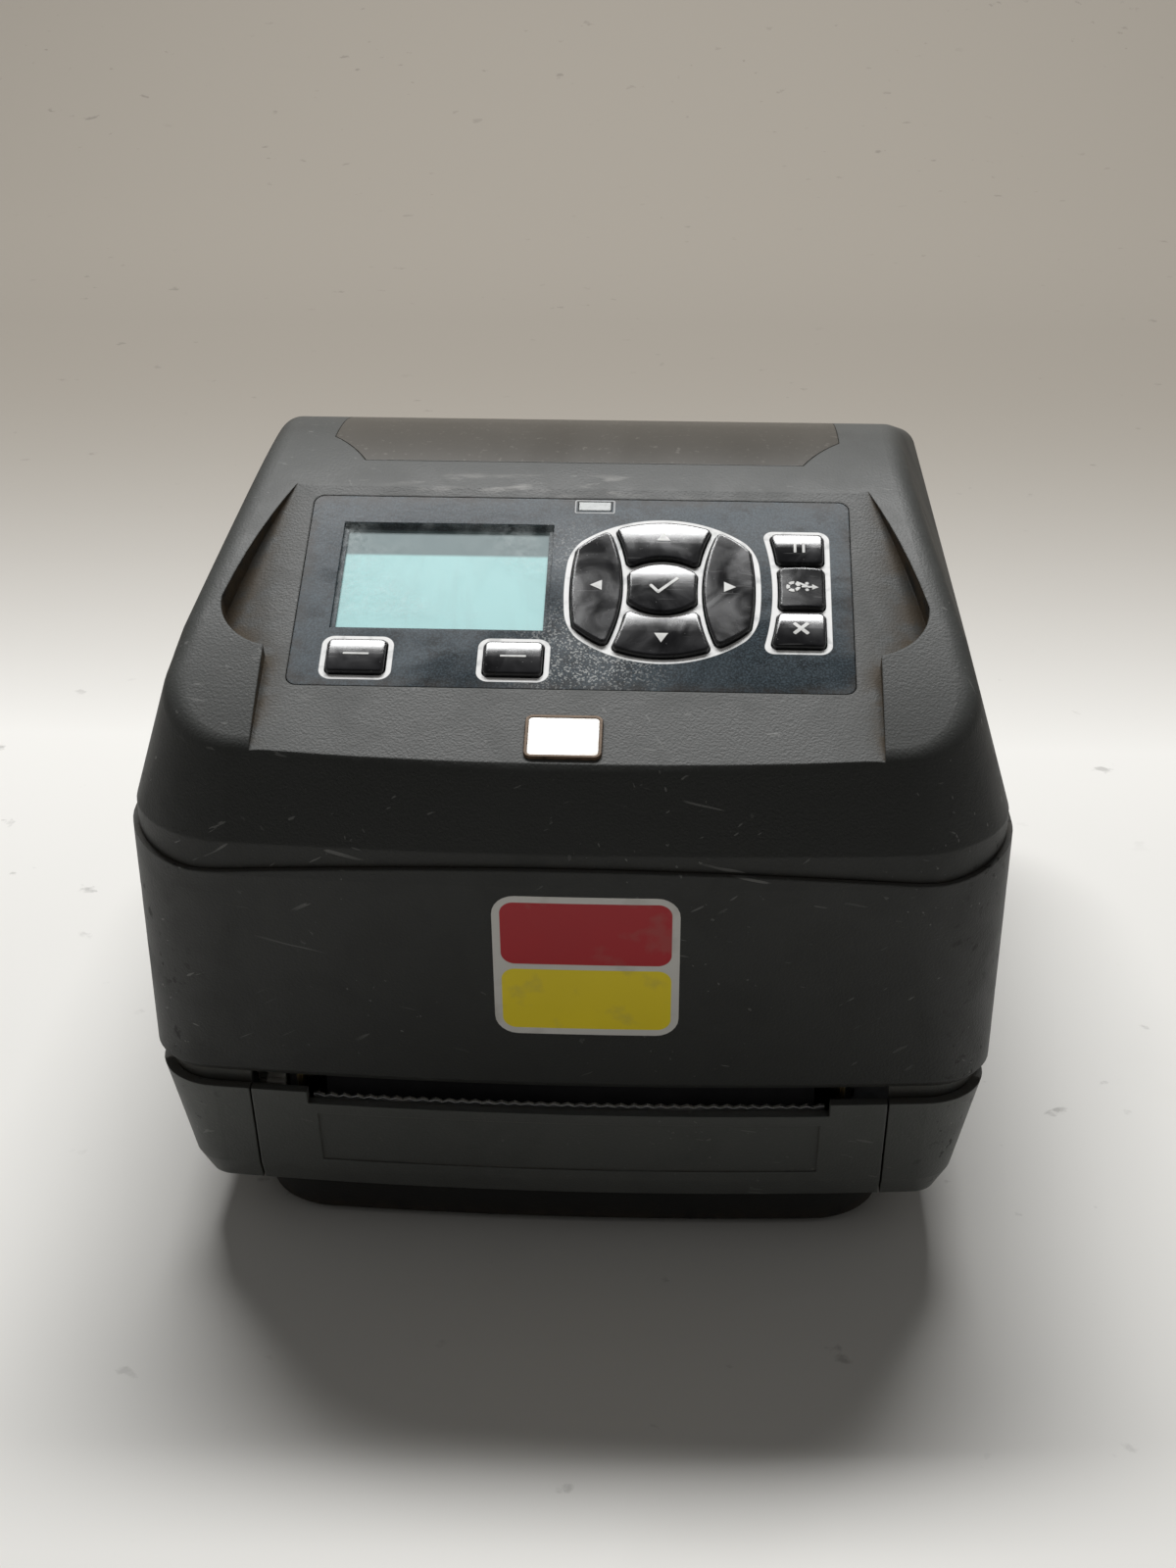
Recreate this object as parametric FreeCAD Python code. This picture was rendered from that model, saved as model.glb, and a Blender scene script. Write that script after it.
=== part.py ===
import FreeCAD, Part
import math
import os

Vec = FreeCAD.Vector

# Desktop label printer, millimetres. +Z up, front faces -Y, origin at the bottom centre.

# Case
case_width = 193.0
case_depth = 254.0
wall = 2.5
crown_radius = 900.0
slide_gap = 0.3
fit_gap = 0.05
panel_gap = 0.15

# Feet and pan
foot_height = 2.0
foot_recess = 1.0
foot_radius = 8.0
foot_taper = 1.0
foot_side_inset = 20.0
foot_end_inset = 24.0
pan_side_inset = 18.5
pan_front_inset = 10.0
pan_rear_inset = 12.0
pan_corner = 20.0
pan_draft = 2.5
pan_flange = 1.5
screw_radius = 1.5
screw_head_radius = 2.8
screw_head_height = 1.6

# Base tub
base_side_inset = 2.0
base_front_inset = 9.0
base_rear_inset = 5.0
base_corner = 15.0
base_foot_z = 12.0
base_foot_inset = 8.8
chine_z = 18.0
chine_inset = 5.6
lip_z = 46.3
lid_gap = 3.6
rim_rise = 2.0
rim_gap = 0.7
rim_thickness = 1.8
bezel_side_inset = 22.7
bezel_gap = 0.5
bezel_depth = 12.0
notch_gap = 4.0
notch_depth = 3.6
recess_inset = 2.0
recess_margin = 3.0
recess_depth = 0.4
tear_thickness = 1.0
tear_height = 7.0
tear_rise = 1.4
tear_pitch = 3.0

# Upper shell
shell_side_inset = 1.0
shell_front_inset = 9.5
shell_rear_inset = 2.0
shell_chamfer = 1.3
shell_chamfer_height = 1.8
shell_lip_corner = 15.0
seam_corner = 27.0
seam_z = 102.8
seam_arch = 4.0
seam_side_rise = 2.7
seam_end = 16.5
rear_relief = 5.2
rear_relief_length = 55.0

# Top cover
skirt_inset = 1.2
skirt_top_z = 110.0
cover_lean = 17.0
shoulder_z = 143.0
shoulder_lean = 25.0
edge_round = 6.0
roof = 3.0
front_edge_inset = 6.9
front_edge_z = 127.9
panel_slope = 24.8
crest_t = 82.0
skin_bulge = 3.5
hump_radius = 100.0
rear_fall = 18.5
scoop_width = 15.0
tray_flare = 4.2
tray_step_t = 29.5
scoop_inset = 19.5
scoop_mid_t = 43.5
scoop_roll = 40.0
scoop_depth = 6.0
scoop_corner = 5.0
scoop_corner_rise = 2.8
scoop_flank = 4.0
scoop_flank_t = 16.0
pod_spread = 1.5
pod_tail = 6.0
far_reach = 20.0

# Control panel
overlay_inset = 1.2
overlay_t0 = 21.1
overlay_t1 = 78.6
overlay_corner = 2.5
overlay_thickness = 1.5
panel_ledge = 2.6
panel_well = 6.0
board_thickness = 1.6
board_margin = 1.8
display_inset = 7.7
display_gap = 24.8
display_t0 = 37.8
display_t1 = 70.2
display_frame = 2.0
lens_thickness = 1.0
light_gap = 15.8
light_t = 76.4
light_width = 7.6
light_height = 3.0
key_rise = 0.9
key_crown = 0.45
key_travel = 0.5
key_round = 0.6
key_gap = 0.35
nav_gap = 23.4
nav_t = 50.5
nav_half_width = 19.3
nav_side_t = 11.6
nav_half_height = 20.2
nav_side_bow = 0.9
nav_divider_x = 9.0
nav_divider_radius = 48.4
nav_line = 1.6
select_half = 7.35
select_radius = 10.7
soft_width = 12.6
soft_height = 9.4
soft_inset = 6.8
soft_t = 29.1
column_width = 12.1
column_inset = 6.1
column_bow = 2.3
column_bow_radius = 73.0
pause_t0 = 58.4
pause_t1 = 67.6
feed_t0 = 44.9
feed_t1 = 57.2
cancel_t0 = 33.7
cancel_t1 = 43.6
key_corner = 1.2

# Window
window_start = 86.1
window_end = 57.0
window_taper = 9.0
window_inset = 2.0
window_flare = 14.0
window_corner = 8.0
window_bend_x = 0.35
window_bend_y = 0.42
window_thickness = 2.0
window_ledge = 3.0

# Hinge and latches
hinge_inset = 6.0
hinge_z = 57.0
hinge_pin_radius = 2.5
hinge_eye_radius = 5.5
ear_inset = 24.5
lid_ear_width = 5.0
base_ear_width = 5.0
ear_gap = 1.0
hinge_pin_head = 1.5
latch_setback = 34.0
latch_z = 69.0
latch_pin_radius = 2.0
latch_eye_radius = 6.0
latch_inset = 10.0
latch_width = 3.8
latch_hook_z = 36.0
latch_grip_length = 24.0
latch_grip_height = 12.0
latch_travel_gap = 5.0
latch_lift = 2.8

# Media path
deck_z = 41.0
deck_thickness = 2.0
deck_gap = 1.0
deck_side_gap = 2.0
deck_wide_setback = 46.0
cradle_rear_room = 15.0
roll_z = 82.0
cradle_front_room = 13.0
cradle_floor_z = 17.0
holder_inset = 10.5
holder_thickness = 3.0
holder_stop = 14.5
holder_setback = 62.0
holder_eye_radius = 17.0
holder_toe_radius = 9.0
holder_neck_half = 2.0
holder_neck_length = 14.0
guide_reach = 50.0
guide_height = 6.0
core_radius = 12.2
hub_length = 9.0
hub_flange_radius = 15.5
hub_flange = 1.6
hub_axle_radius = 4.0
rack_module = 0.75
rack_teeth = 20
rack_height = 5.0
rack_drop = 2.0
rack_back = 5.0
sensor_setback = 22.0
sensor_length = 10.0
sensor_width = 8.0
sensor_height = 5.0
sensor_stop = 22.0
sensor_eye_radius = 1.5

# Platen drive
platen_setback = 20.0
platen_z = 36.5
platen_radius = 8.5
platen_end_gap = 7.0
platen_shaft_radius = 3.0
bushing_radius = 5.0
bushing_flange_radius = 6.5
bushing_flange = 1.0
frame_inset = 13.0
frame_thickness = 1.5
frame_land = 6.0
frame_bevel = 4.0
frame_crest = 8.0
drive_module = 0.8
platen_teeth = 26
small_teeth = 16
large_teeth = 35
pinion_teeth = 15
gear_width = 4.0
gear_gap = 1.0
gear_backlash = 0.16
pressure_angle = math.radians(20)
dedendum = 1.25
motor_setback = 30.0
motor_z = 24.0
motor_radius = 14.5
motor_length = 20.0
motor_flange = 1.5
motor_shoulder = 2.0
motor_ear = 4.0
motor_round = 1.5
motor_shaft_radius = 1.5
stud_radius = 2.0
clip_thickness = 1.0

# Ribbon carriage
ribbon_inset = 5.0
ribbon_plate = 2.0
carriage_low_z = 54.0
carriage_lead = 14.0
carriage_reach = 48.0
carriage_t0 = 26.0
carriage_t1 = 72.0
carriage_drop = 12.0
carriage_flange = 8.0
carriage_bevel = 10.0
carriage_margin = 4.0
supply_setback = 32.0
supply_z = 79.0
takeup_setback = 4.0
takeup_z = 107.0
spindle_radius = 6.0
spindle_flange_radius = 9.0
spindle_flange = 1.5
journal_radius = 3.0
spindle_fin = 1.2
fin_half = 0.8
fin_length = 14.0
takeup_teeth = 28
ribbon_teeth = 48
ribbon_gear_setback = 2.0
spoke_holes = 5
spoke_reach = 0.6
spoke_hole = 0.2
head_pivot_setback = 28.0
head_pivot_z = 57.0
head_pivot_radius = 2.0
head_inset = 2.0
head_gap = 0.4
head_block = 5.0
head_depth = 14.0
heatsink_height = 6.0
heatsink_fins = 3
fin_pitch = 3.0
fin_thickness = 1.4
element_half = 2.0
element_height = 1.0
head_ear = 4.0
head_arm = 10.0
bracket_thickness = 1.5

# Boards and sockets
board_z = 7.5
board_side_inset = 14.0
board_setback = 58.0
board_rear_inset = 28.0
chip_half = 12.0
chip_setback = 30.0
chip_height = 1.6
side_chip_x = 34.0
side_chip_half = 7.0
capacitor_radius = 2.5
capacitor_height = 2.4
capacitor_setback = 6.0
port_board_inset = 30.5
port_board_depth = 22.0
port_boss = 1.2
port_depth = 16.0
port_proud = 0.3
port_gap = 0.3
inlet_setback = 9.25
inlet_width = 14.0
inlet_height = 11.0
inlet_bore = 3.2
inlet_pin = 1.0
usb_setback = 9.625
usb_width = 12.0
usb_height = 11.0
serial_x = -16.0
serial_width = 31.0
serial_height = 12.5
network_x = -48.0
network_width = 16.0
network_height = 13.5
socket_wall = 1.8
socket_depth = 10.0
switch_inset = 34.5
switch_z = 28.0
switch_half_width = 6.0
switch_half_height = 9.0
switch_frame_wall = 1.6
switch_frame_proud = 1.2
switch_depth = 12.0
rocker_tilt = 9.0
rocker_depth = 5.0
rocker_pin = 1.0

# Worked-out levels and places
half_width = case_width / 2
half_depth = case_depth / 2
base_half = half_width - base_side_inset
base_front = half_depth - base_front_inset
base_rear = half_depth - base_rear_inset
bezel_half = base_half - bezel_side_inset
pan_half = base_half - pan_side_inset
pan_front = base_front - pan_front_inset
pan_rear = base_rear - pan_rear_inset
foot_x = pan_half - foot_side_inset
frame_x = pan_half - frame_inset
notch_half = frame_x - notch_gap
recess_half = notch_half - recess_inset
platen_half = frame_x - platen_end_gap
deck_half_front = frame_x - deck_side_gap
holder_x = frame_x - holder_inset
holder_travel = holder_x - holder_stop
sensor_travel = platen_half - sensor_stop
head_half = platen_half - head_inset
ribbon_plate_x = frame_x - ribbon_inset
port_board_half = base_half - port_board_inset
inlet_x = base_half / 2 - inlet_setback
usb_x = base_half / 4 - usb_setback
switch_x = base_half - switch_inset
foot_y = pan_front - foot_end_inset
shell_lip_half = half_width - shell_side_inset
shell_lip_front = half_depth - shell_front_inset
shell_lip_rear = half_depth - shell_rear_inset
rear_relief_start = half_depth - rear_relief_length
seam_turn = half_width - seam_end
front_edge_y = front_edge_inset - half_depth
scoop_half = half_width - scoop_inset
pod_half = scoop_half - scoop_width
tray_half = pod_half + tray_flare
overlay_half = pod_half - overlay_inset
column_x1 = overlay_half - column_inset
column_x0 = column_x1 - column_width
column_bow_x = column_x0 + column_bow
nav_x = column_x0 - nav_gap
light_x = nav_x - light_gap
display_x0 = display_inset - overlay_half
display_x1 = nav_x - display_gap
soft_left_x = display_x0 + soft_inset
soft_right_x = display_x1 - soft_inset
window_front_y = front_edge_y + window_start
window_rear_y = half_depth - window_end
window_half = pod_half - window_inset
window_front_half = window_half - window_taper
hinge_y = base_rear - hinge_inset
lid_ear_x = base_half - ear_inset
latch_x = base_half - latch_inset
latch_y = latch_setback - base_front
platen_y = platen_setback - base_front
sensor_y = platen_y + sensor_setback
motor_y = platen_y + motor_setback
deck_half = pan_half
deck_wide_y = platen_y + deck_wide_setback
holder_foot_y = platen_y + holder_setback
cradle_front_y = holder_foot_y + cradle_front_room
cradle_rear_y = base_rear - cradle_rear_room
cradle_radius = min((cradle_rear_y - cradle_front_y) / 2, roll_z - cradle_floor_z)
roll_y = (cradle_rear_y + cradle_front_y) / 2
carriage_front_y = platen_y - carriage_lead
carriage_rear_y = platen_y + carriage_reach
supply_y = platen_y + supply_setback
takeup_y = platen_y + takeup_setback
ribbon_gear_y = platen_y + ribbon_gear_setback
head_pivot_y = platen_y + head_pivot_setback
main_board_half = pan_half - board_side_inset
main_board_y0 = platen_y + board_setback
main_board_y1 = base_rear - board_rear_inset
chip_y = main_board_y0 + chip_setback
capacitor_y = main_board_y0 + capacitor_setback
port_board_y = base_rear - port_board_depth
pan_z = foot_height
base_top_z = lip_z - lid_gap
base_floor_z = base_foot_z + wall
pan_floor_z = pan_z + wall
pitch_radius = {n: drive_module * n / 2 for n in
                (platen_teeth, small_teeth, large_teeth, pinion_teeth, takeup_teeth, ribbon_teeth)}
rack_radius = rack_module * rack_teeth / 2
deck_front_y = platen_y + platen_radius + deck_gap
slope = math.radians(panel_slope)
panel_turn = FreeCAD.Rotation(Vec(1, 0, 0), panel_slope)
panel_place = FreeCAD.Placement(Vec(0, front_edge_y, front_edge_z), panel_turn)


# Basic forms

def box(x0, x1, y0, y1, z0, z1):
    return Part.makeBox(x1 - x0, y1 - y0, z1 - z0, Vec(x0, y0, z0))


def rod_x(radius, x0, x1, y, z):
    return Part.makeCylinder(radius, x1 - x0, Vec(x0, y, z), Vec(1, 0, 0))


def rod_z(radius, z0, z1, x, y):
    return Part.makeCylinder(radius, z1 - z0, Vec(x, y, z0))


def fused(shapes):
    return shapes[0].multiFuse(shapes[1:]).removeSplitter()


def mirror_x(shape):
    return shape.mirror(Vec(0, 0, 0), Vec(1, 0, 0))


def flip(v):
    return Vec(-v.x, v.y, v.z)


def both_sides(shape):
    return Part.makeCompound([shape, mirror_x(shape)])


def polygon_x(points, x0, x1):
    corners = [Vec(x0, y, z) for y, z in points]
    return Part.Face(Part.makePolygon(corners + corners[:1])).extrude(Vec(x1 - x0, 0, 0))


def profile_x(edges, half):
    return Part.Face(Part.Wire(edges)).extrude(Vec(2 * half, 0, 0))


def arc(a, b, c):
    return Part.Arc(a, b, c).toShape()


def line(a, b):
    return Part.makeLine(a, b)


def on_panel(shape):
    moved = shape.copy()
    moved.Placement = panel_place.multiply(moved.Placement)
    return moved


def panel_box(x0, x1, t0, t1, d0, d1):
    return on_panel(box(x0, x1, t0, t1, d0, d1))


def panel_point(t, d):
    """Y and Z of a point of the sloping panel plane, t along it and d above it."""
    return (front_edge_y + t * math.cos(slope) - d * math.sin(slope),
            front_edge_z + t * math.sin(slope) + d * math.cos(slope))


def outline(half, front, rear, corner, z, inset=0.0, rear_inset=None):
    """Rounded rectangle whose front side bows forward, inset all round."""
    x = half - inset
    y_rear = rear - (inset if rear_inset is None else rear_inset)
    r = max(corner - inset, 0.5)
    bow = crown_radius - inset
    bow_y = -front + crown_radius
    turn_y = bow_y - math.sqrt((bow - r) ** 2 - (x - r) ** 2)
    start = math.atan2(turn_y - bow_y, x - r)

    def round_corner(sign, y, a0, a1):
        points = [Vec(sign * (x - r + r * math.cos(a)), y + r * math.sin(a), z)
                  for a in (a0, (a0 + a1) / 2, a1)]
        return points

    right = round_corner(1, turn_y, start, 0.0)
    right_rear = round_corner(1, y_rear - r, 0.0, math.pi / 2)
    left_rear = round_corner(-1, y_rear - r, math.pi / 2, 0.0)
    left = round_corner(-1, turn_y, 0.0, start)
    apex = Vec(0, bow_y - bow, z)
    edges = [arc(left[2], apex, right[0]), arc(*right), line(right[2], right_rear[0]),
             arc(*right_rear), line(right_rear[2], left_rear[0]), arc(*left_rear),
             line(left_rear[2], left[0]), arc(*left)]
    return Part.Wire(edges)


def loft(wires):
    return Part.makeLoft(wires, True, True)


def rounded_rect(x0, x1, y0, y1, r, height):
    """Plate with round corners on z = 0, extruded up."""
    plate = box(x0, x1, y0, y1, 0, height)
    uprights = [e for e in plate.Edges if abs(e.Vertexes[0].Z - e.Vertexes[1].Z) > height / 2]
    return plate.makeFillet(r, uprights)


# Gears

def gear(module, teeth, width, tooth_at=0.0):
    """Spur gear on the Z axis, involute flanks in two straights, one tooth at the given angle."""
    pitch = module * teeth / 2
    base = pitch * math.cos(pressure_angle)
    root = pitch - dedendum * module
    tip = pitch + module
    half = math.pi / (2 * teeth) - gear_backlash / (2 * pitch) + math.tan(pressure_angle) - pressure_angle

    def flank(radius):
        roll = math.acos(min(1.0, base / radius))
        return half - math.tan(roll) + roll

    radii = [root, max(root, base) + 0.02, pitch, tip]
    points = []
    for i in range(teeth):
        middle = tooth_at + 2 * math.pi * i / teeth
        for radius in radii:
            points.append((radius, middle - flank(max(radius, base))))
        for radius in reversed(radii):
            points.append((radius, middle + flank(max(radius, base))))
    corners = [Vec(r * math.cos(a), r * math.sin(a), 0) for r, a in points]
    return Part.Face(Part.makePolygon(corners + corners[:1])).extrude(Vec(0, 0, width))


def gear_x(module, teeth, x0, x1, y, z, tooth_at):
    """The same gear on an axis along X, angles measured from +Y towards +Z."""
    turned = gear(module, teeth, x1 - x0, tooth_at)
    axes = FreeCAD.Rotation(Vec(0, 1, 0), Vec(0, 0, 1), Vec(1, 0, 0))
    turned.Placement = FreeCAD.Placement(Vec(x0, y, z), axes)
    return turned


def rack(x0, x1, y, z0, z1, side, back):
    """Rack along X with a gap at x = 0, teeth towards +Y or -Y."""
    pitch = math.pi * rack_module
    lean_x = math.tan(pressure_angle) * rack_module
    half = pitch / 4 - gear_backlash / 2
    first = math.ceil(x0 / pitch - 0.5)
    last = math.floor(x1 / pitch - 0.5)
    root = -dedendum * rack_module
    points = [(x0, -back), (x0, root)]
    for i in range(first + 1, last):
        middle = (i + 0.5) * pitch
        points += [(middle - half - dedendum * lean_x, root), (middle - half + lean_x, rack_module),
                   (middle + half - lean_x, rack_module), (middle + half + dedendum * lean_x, root)]
    points += [(x1, root), (x1, -back)]
    corners = [Vec(x, y + side * d, z0) for x, d in points]
    return Part.Face(Part.makePolygon(corners + corners[:1])).extrude(Vec(0, 0, z1 - z0))


def drive_centre():
    """Axis of the reduction gear, in mesh with the platen gear and the motor pinion."""
    near = pitch_radius[platen_teeth] + pitch_radius[small_teeth]
    far = pitch_radius[large_teeth] + pitch_radius[pinion_teeth]
    dy = motor_y - platen_y
    dz = motor_z - platen_z
    span = math.hypot(dy, dz)
    along = (near ** 2 - far ** 2 + span ** 2) / (2 * span)
    up = math.sqrt(near ** 2 - along ** 2)
    return (platen_y + (along * dy - up * dz) / span, platen_z + (along * dz + up * dy) / span)


def angle_to(y0, z0, y1, z1):
    return math.atan2(z1 - z0, y1 - y0)


# Base

def base_hull(inset=0.0, z_floor=base_foot_z):
    """Tapered tub form. The rear wall stays upright."""
    levels = [(base_foot_z, base_foot_inset), (chine_z, chine_inset), (base_top_z, 0.0)]
    wires = [outline(base_half, base_front, base_rear, base_corner, z, extra + inset, inset)
             for z, extra in levels]
    hull = loft(wires)
    if z_floor > base_foot_z:
        hull = hull.cut(box(-case_width, case_width, -case_depth, case_depth, 0, z_floor))
    return hull


def base_rim():
    """Inner rim that closes the view through the gap under the lid, open at the front, hinge and latches."""
    z0 = base_top_z - 2 * rim_rise
    z1 = lip_z + rim_rise

    def ring(inset):
        return loft([outline(shell_lip_half, shell_lip_front, shell_lip_rear, shell_lip_corner, z, inset)
                     for z in (z0, z1)])

    rim = ring(wall + rim_gap).cut(ring(wall + rim_gap + rim_thickness))
    rim = rim.cut(box(-case_width, case_width, hinge_y - 4 * hinge_eye_radius, case_depth, z0, z1))
    front = bezel_half + bezel_gap
    rim = rim.cut(box(-front, front, -case_depth, 0, z0, z1))
    y0 = latch_y - latch_grip_length / 2 - latch_travel_gap
    y1 = latch_y + latch_grip_length / 2 + latch_travel_gap
    return rim.cut(box(-case_width, case_width, y0, y1, base_top_z, z1))


def port_layout():
    """Centre, width and height of each socket on the port board."""
    return {"power_inlet": (inlet_x, inlet_width, inlet_height),
            "usb_port": (usb_x, usb_width, usb_height),
            "serial_port": (serial_x, serial_width, serial_height),
            "network_port": (network_x, network_width, network_height)}


def port_floor():
    return base_floor_z + port_boss + board_thickness


def bezel_zone(half):
    return box(-half, half, -case_depth, -base_front + base_foot_inset + bezel_depth, 0, base_top_z)


def base_case():
    tub = base_hull().cut(base_hull(wall, base_floor_z))
    opening = pan_half - wall - pan_flange
    tub = tub.cut(box(-opening, opening, -pan_front + wall + pan_flange, pan_rear - wall - pan_flange,
                      0, base_floor_z))
    tub = tub.cut(bezel_zone(bezel_half + bezel_gap))
    for x, width, height in port_layout().values():
        tub = tub.cut(box(x - width / 2 - port_gap, x + width / 2 + port_gap, port_board_y, case_depth,
                          port_floor() - port_gap, port_floor() + height + port_gap))
    reach = switch_frame_wall + slide_gap
    tub = tub.cut(box(switch_x - switch_half_width - reach, switch_x + switch_half_width + reach,
                      port_board_y, case_depth,
                      switch_z - switch_half_height - reach, switch_z + switch_half_height + reach))
    shelf = deck_half - pan_half + wall + pan_flange
    rib = box(deck_half - shelf, deck_half, deck_wide_y, deck_wide_y + wall,
              base_floor_z, deck_z - deck_thickness)
    rear_rib = rib.copy()
    rear_rib.translate(Vec(0, base_rear - wall - deck_wide_y - 3 * wall, 0))
    catch_y = latch_y + latch_eye_radius + 2 * slide_gap
    catch = box(latch_x, base_half, catch_y, catch_y + latch_eye_radius, latch_hook_z + wall, base_top_z - wall)
    catch = catch.common(base_hull(wall / 2))
    additions = []
    for piece in (rib, rear_rib, catch):
        additions += [piece, mirror_x(piece)]
    boss = rod_z(2 * screw_radius, base_floor_z, base_floor_z + port_boss,
                 port_board_half - 2 * wall, base_rear - 3 * wall)
    additions += [boss, mirror_x(boss)]
    return fused([tub, base_rim()] + additions)


def foot_places():
    return [(sx * foot_x, sy * foot_y) for sx in (-1, 1) for sy in (-1, 1)]


def board_posts():
    """Places of the main board's screws."""
    inset = 3 * screw_radius
    return [(sx * (main_board_half - inset), y) for sx in (-1, 1)
            for y in (main_board_y0 + inset, main_board_y1 - inset)]


def bottom_pan():
    top = outline(pan_half, pan_front, pan_rear, pan_corner, base_foot_z)
    low = outline(pan_half, pan_front, pan_rear, pan_corner, pan_z, pan_draft)
    inner_top = outline(pan_half, pan_front, pan_rear, pan_corner, base_foot_z, wall)
    inner_low = outline(pan_half, pan_front, pan_rear, pan_corner, pan_floor_z, wall + pan_draft)
    pan = loft([low, top]).cut(loft([inner_low, inner_top]))
    posts = [rod_z(2 * screw_radius, pan_floor_z - foot_recess, board_z, x, y) for x, y in board_posts()]
    pan = fused([pan] + posts)
    for x, y in foot_places():
        pan = pan.cut(rod_z(foot_radius + slide_gap, 0, pan_z + foot_recess, x, y))
    for x, y in board_posts():
        pan = pan.cut(rod_z(screw_radius, pan_floor_z, board_z, x, y))
    return pan


def rubber_feet():
    feet = []
    for x, y in foot_places():
        foot = Part.makeCone(foot_radius - foot_taper, foot_radius, foot_height, Vec(x, y, 0))
        feet.append(fused([foot, rod_z(foot_radius, foot_height, foot_height + foot_recess, x, y)]))
    return Part.makeCompound(feet)


def board_screws():
    screws = []
    for x, y in board_posts():
        top = board_z + board_thickness
        shank = rod_z(screw_radius, board_z, top, x, y)
        head = rod_z(screw_head_radius, top, top + screw_head_height, x, y)
        screws.append(shank.fuse(head).removeSplitter())
    return Part.makeCompound(screws)


def front_bezel():
    plate = base_hull().cut(base_hull(wall, base_floor_z)).common(bezel_zone(bezel_half))
    notch = box(-notch_half, notch_half, -case_depth, 0, base_top_z - notch_depth, base_top_z + 1)
    low = chine_z + recess_margin
    high = base_top_z - notch_depth - recess_margin
    recess = box(-recess_half, recess_half, -case_depth, 0, low, high).cut(base_hull(recess_depth))
    return plate.cut(notch).cut(recess)


def tear_bar():
    top = base_top_z - notch_depth + tear_rise
    strip = base_hull(wall).cut(base_hull(wall + tear_thickness))
    bar = strip.common(box(-notch_half + 1, notch_half - 1, -case_depth, platen_y, top - tear_height, top))
    bar = bar.common(bezel_zone(bezel_half))
    count = int((notch_half - 2) / tear_pitch)
    cuts = []
    for i in range(-count, count):
        x = (i + 0.5) * tear_pitch
        near = -case_depth / 2
        corners = [Vec(x - tear_pitch / 2, near, top), Vec(x, near, top - tear_rise / 2),
                   Vec(x + tear_pitch / 2, near, top)]
        cuts.append(Part.Face(Part.makePolygon(corners + corners[:1])).extrude(Vec(0, case_depth / 4, 0)))
    return bar.cut(Part.makeCompound(cuts))


def deck_profile(radius, z, rear_y):
    """Edges of the deck surface from front to rear: flat, cradle arc, flat."""
    dip = math.sqrt(radius ** 2 - (roll_z - z) ** 2)
    start = Vec(0, roll_y - dip, z)
    end = Vec(0, roll_y + dip, z)
    low = Vec(0, roll_y, roll_z - radius)
    return [line(Vec(0, deck_front_y, z), start), arc(start, low, end), line(end, Vec(0, rear_y, z))]


def media_deck():
    rear = base_rear - wall
    upper = deck_profile(cradle_radius, deck_z, rear)
    lower = deck_profile(cradle_radius + deck_thickness, deck_z - deck_thickness, rear)
    first = line(lower[0].Vertexes[0].Point, upper[0].Vertexes[0].Point)
    last = line(upper[2].Vertexes[1].Point, lower[2].Vertexes[1].Point)
    section = Part.Face(Part.Wire(Part.__sortEdges__(upper + [last] + lower + [first])))
    deck = section.extrude(Vec(2 * deck_half, 0, 0))
    deck.translate(Vec(-deck_half, 0, 0))
    for side in (-1, 1):
        x0, x1 = sorted((side * deck_half_front, side * (deck_half + 1)))
        deck = deck.cut(box(x0, x1, deck_front_y - 1, deck_wide_y, 0, case_depth))
    neck = holder_neck_half + slide_gap
    for side in (-1, 1):
        x0, x1 = sorted((side * (holder_x + holder_neck_length),
                         side * (holder_x - holder_travel - slide_gap)))
        deck = deck.cut(box(x0, x1, holder_foot_y - neck, holder_foot_y + neck, 0, deck_z + 1))
    half = sensor_travel + sensor_length / 2 + slide_gap
    deck = deck.cut(box(-half, half, sensor_y - sensor_width / 2 - slide_gap,
                        sensor_y + sensor_width / 2 + slide_gap, 0, deck_z + 1))
    stud = rod_z(stud_radius, rack_top() - rack_height - slide_gap, deck_z - deck_thickness / 2,
                 0, holder_foot_y)
    return fused([deck, stud])


# Roll holders

def rack_top():
    return deck_z - deck_thickness - rack_drop


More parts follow.
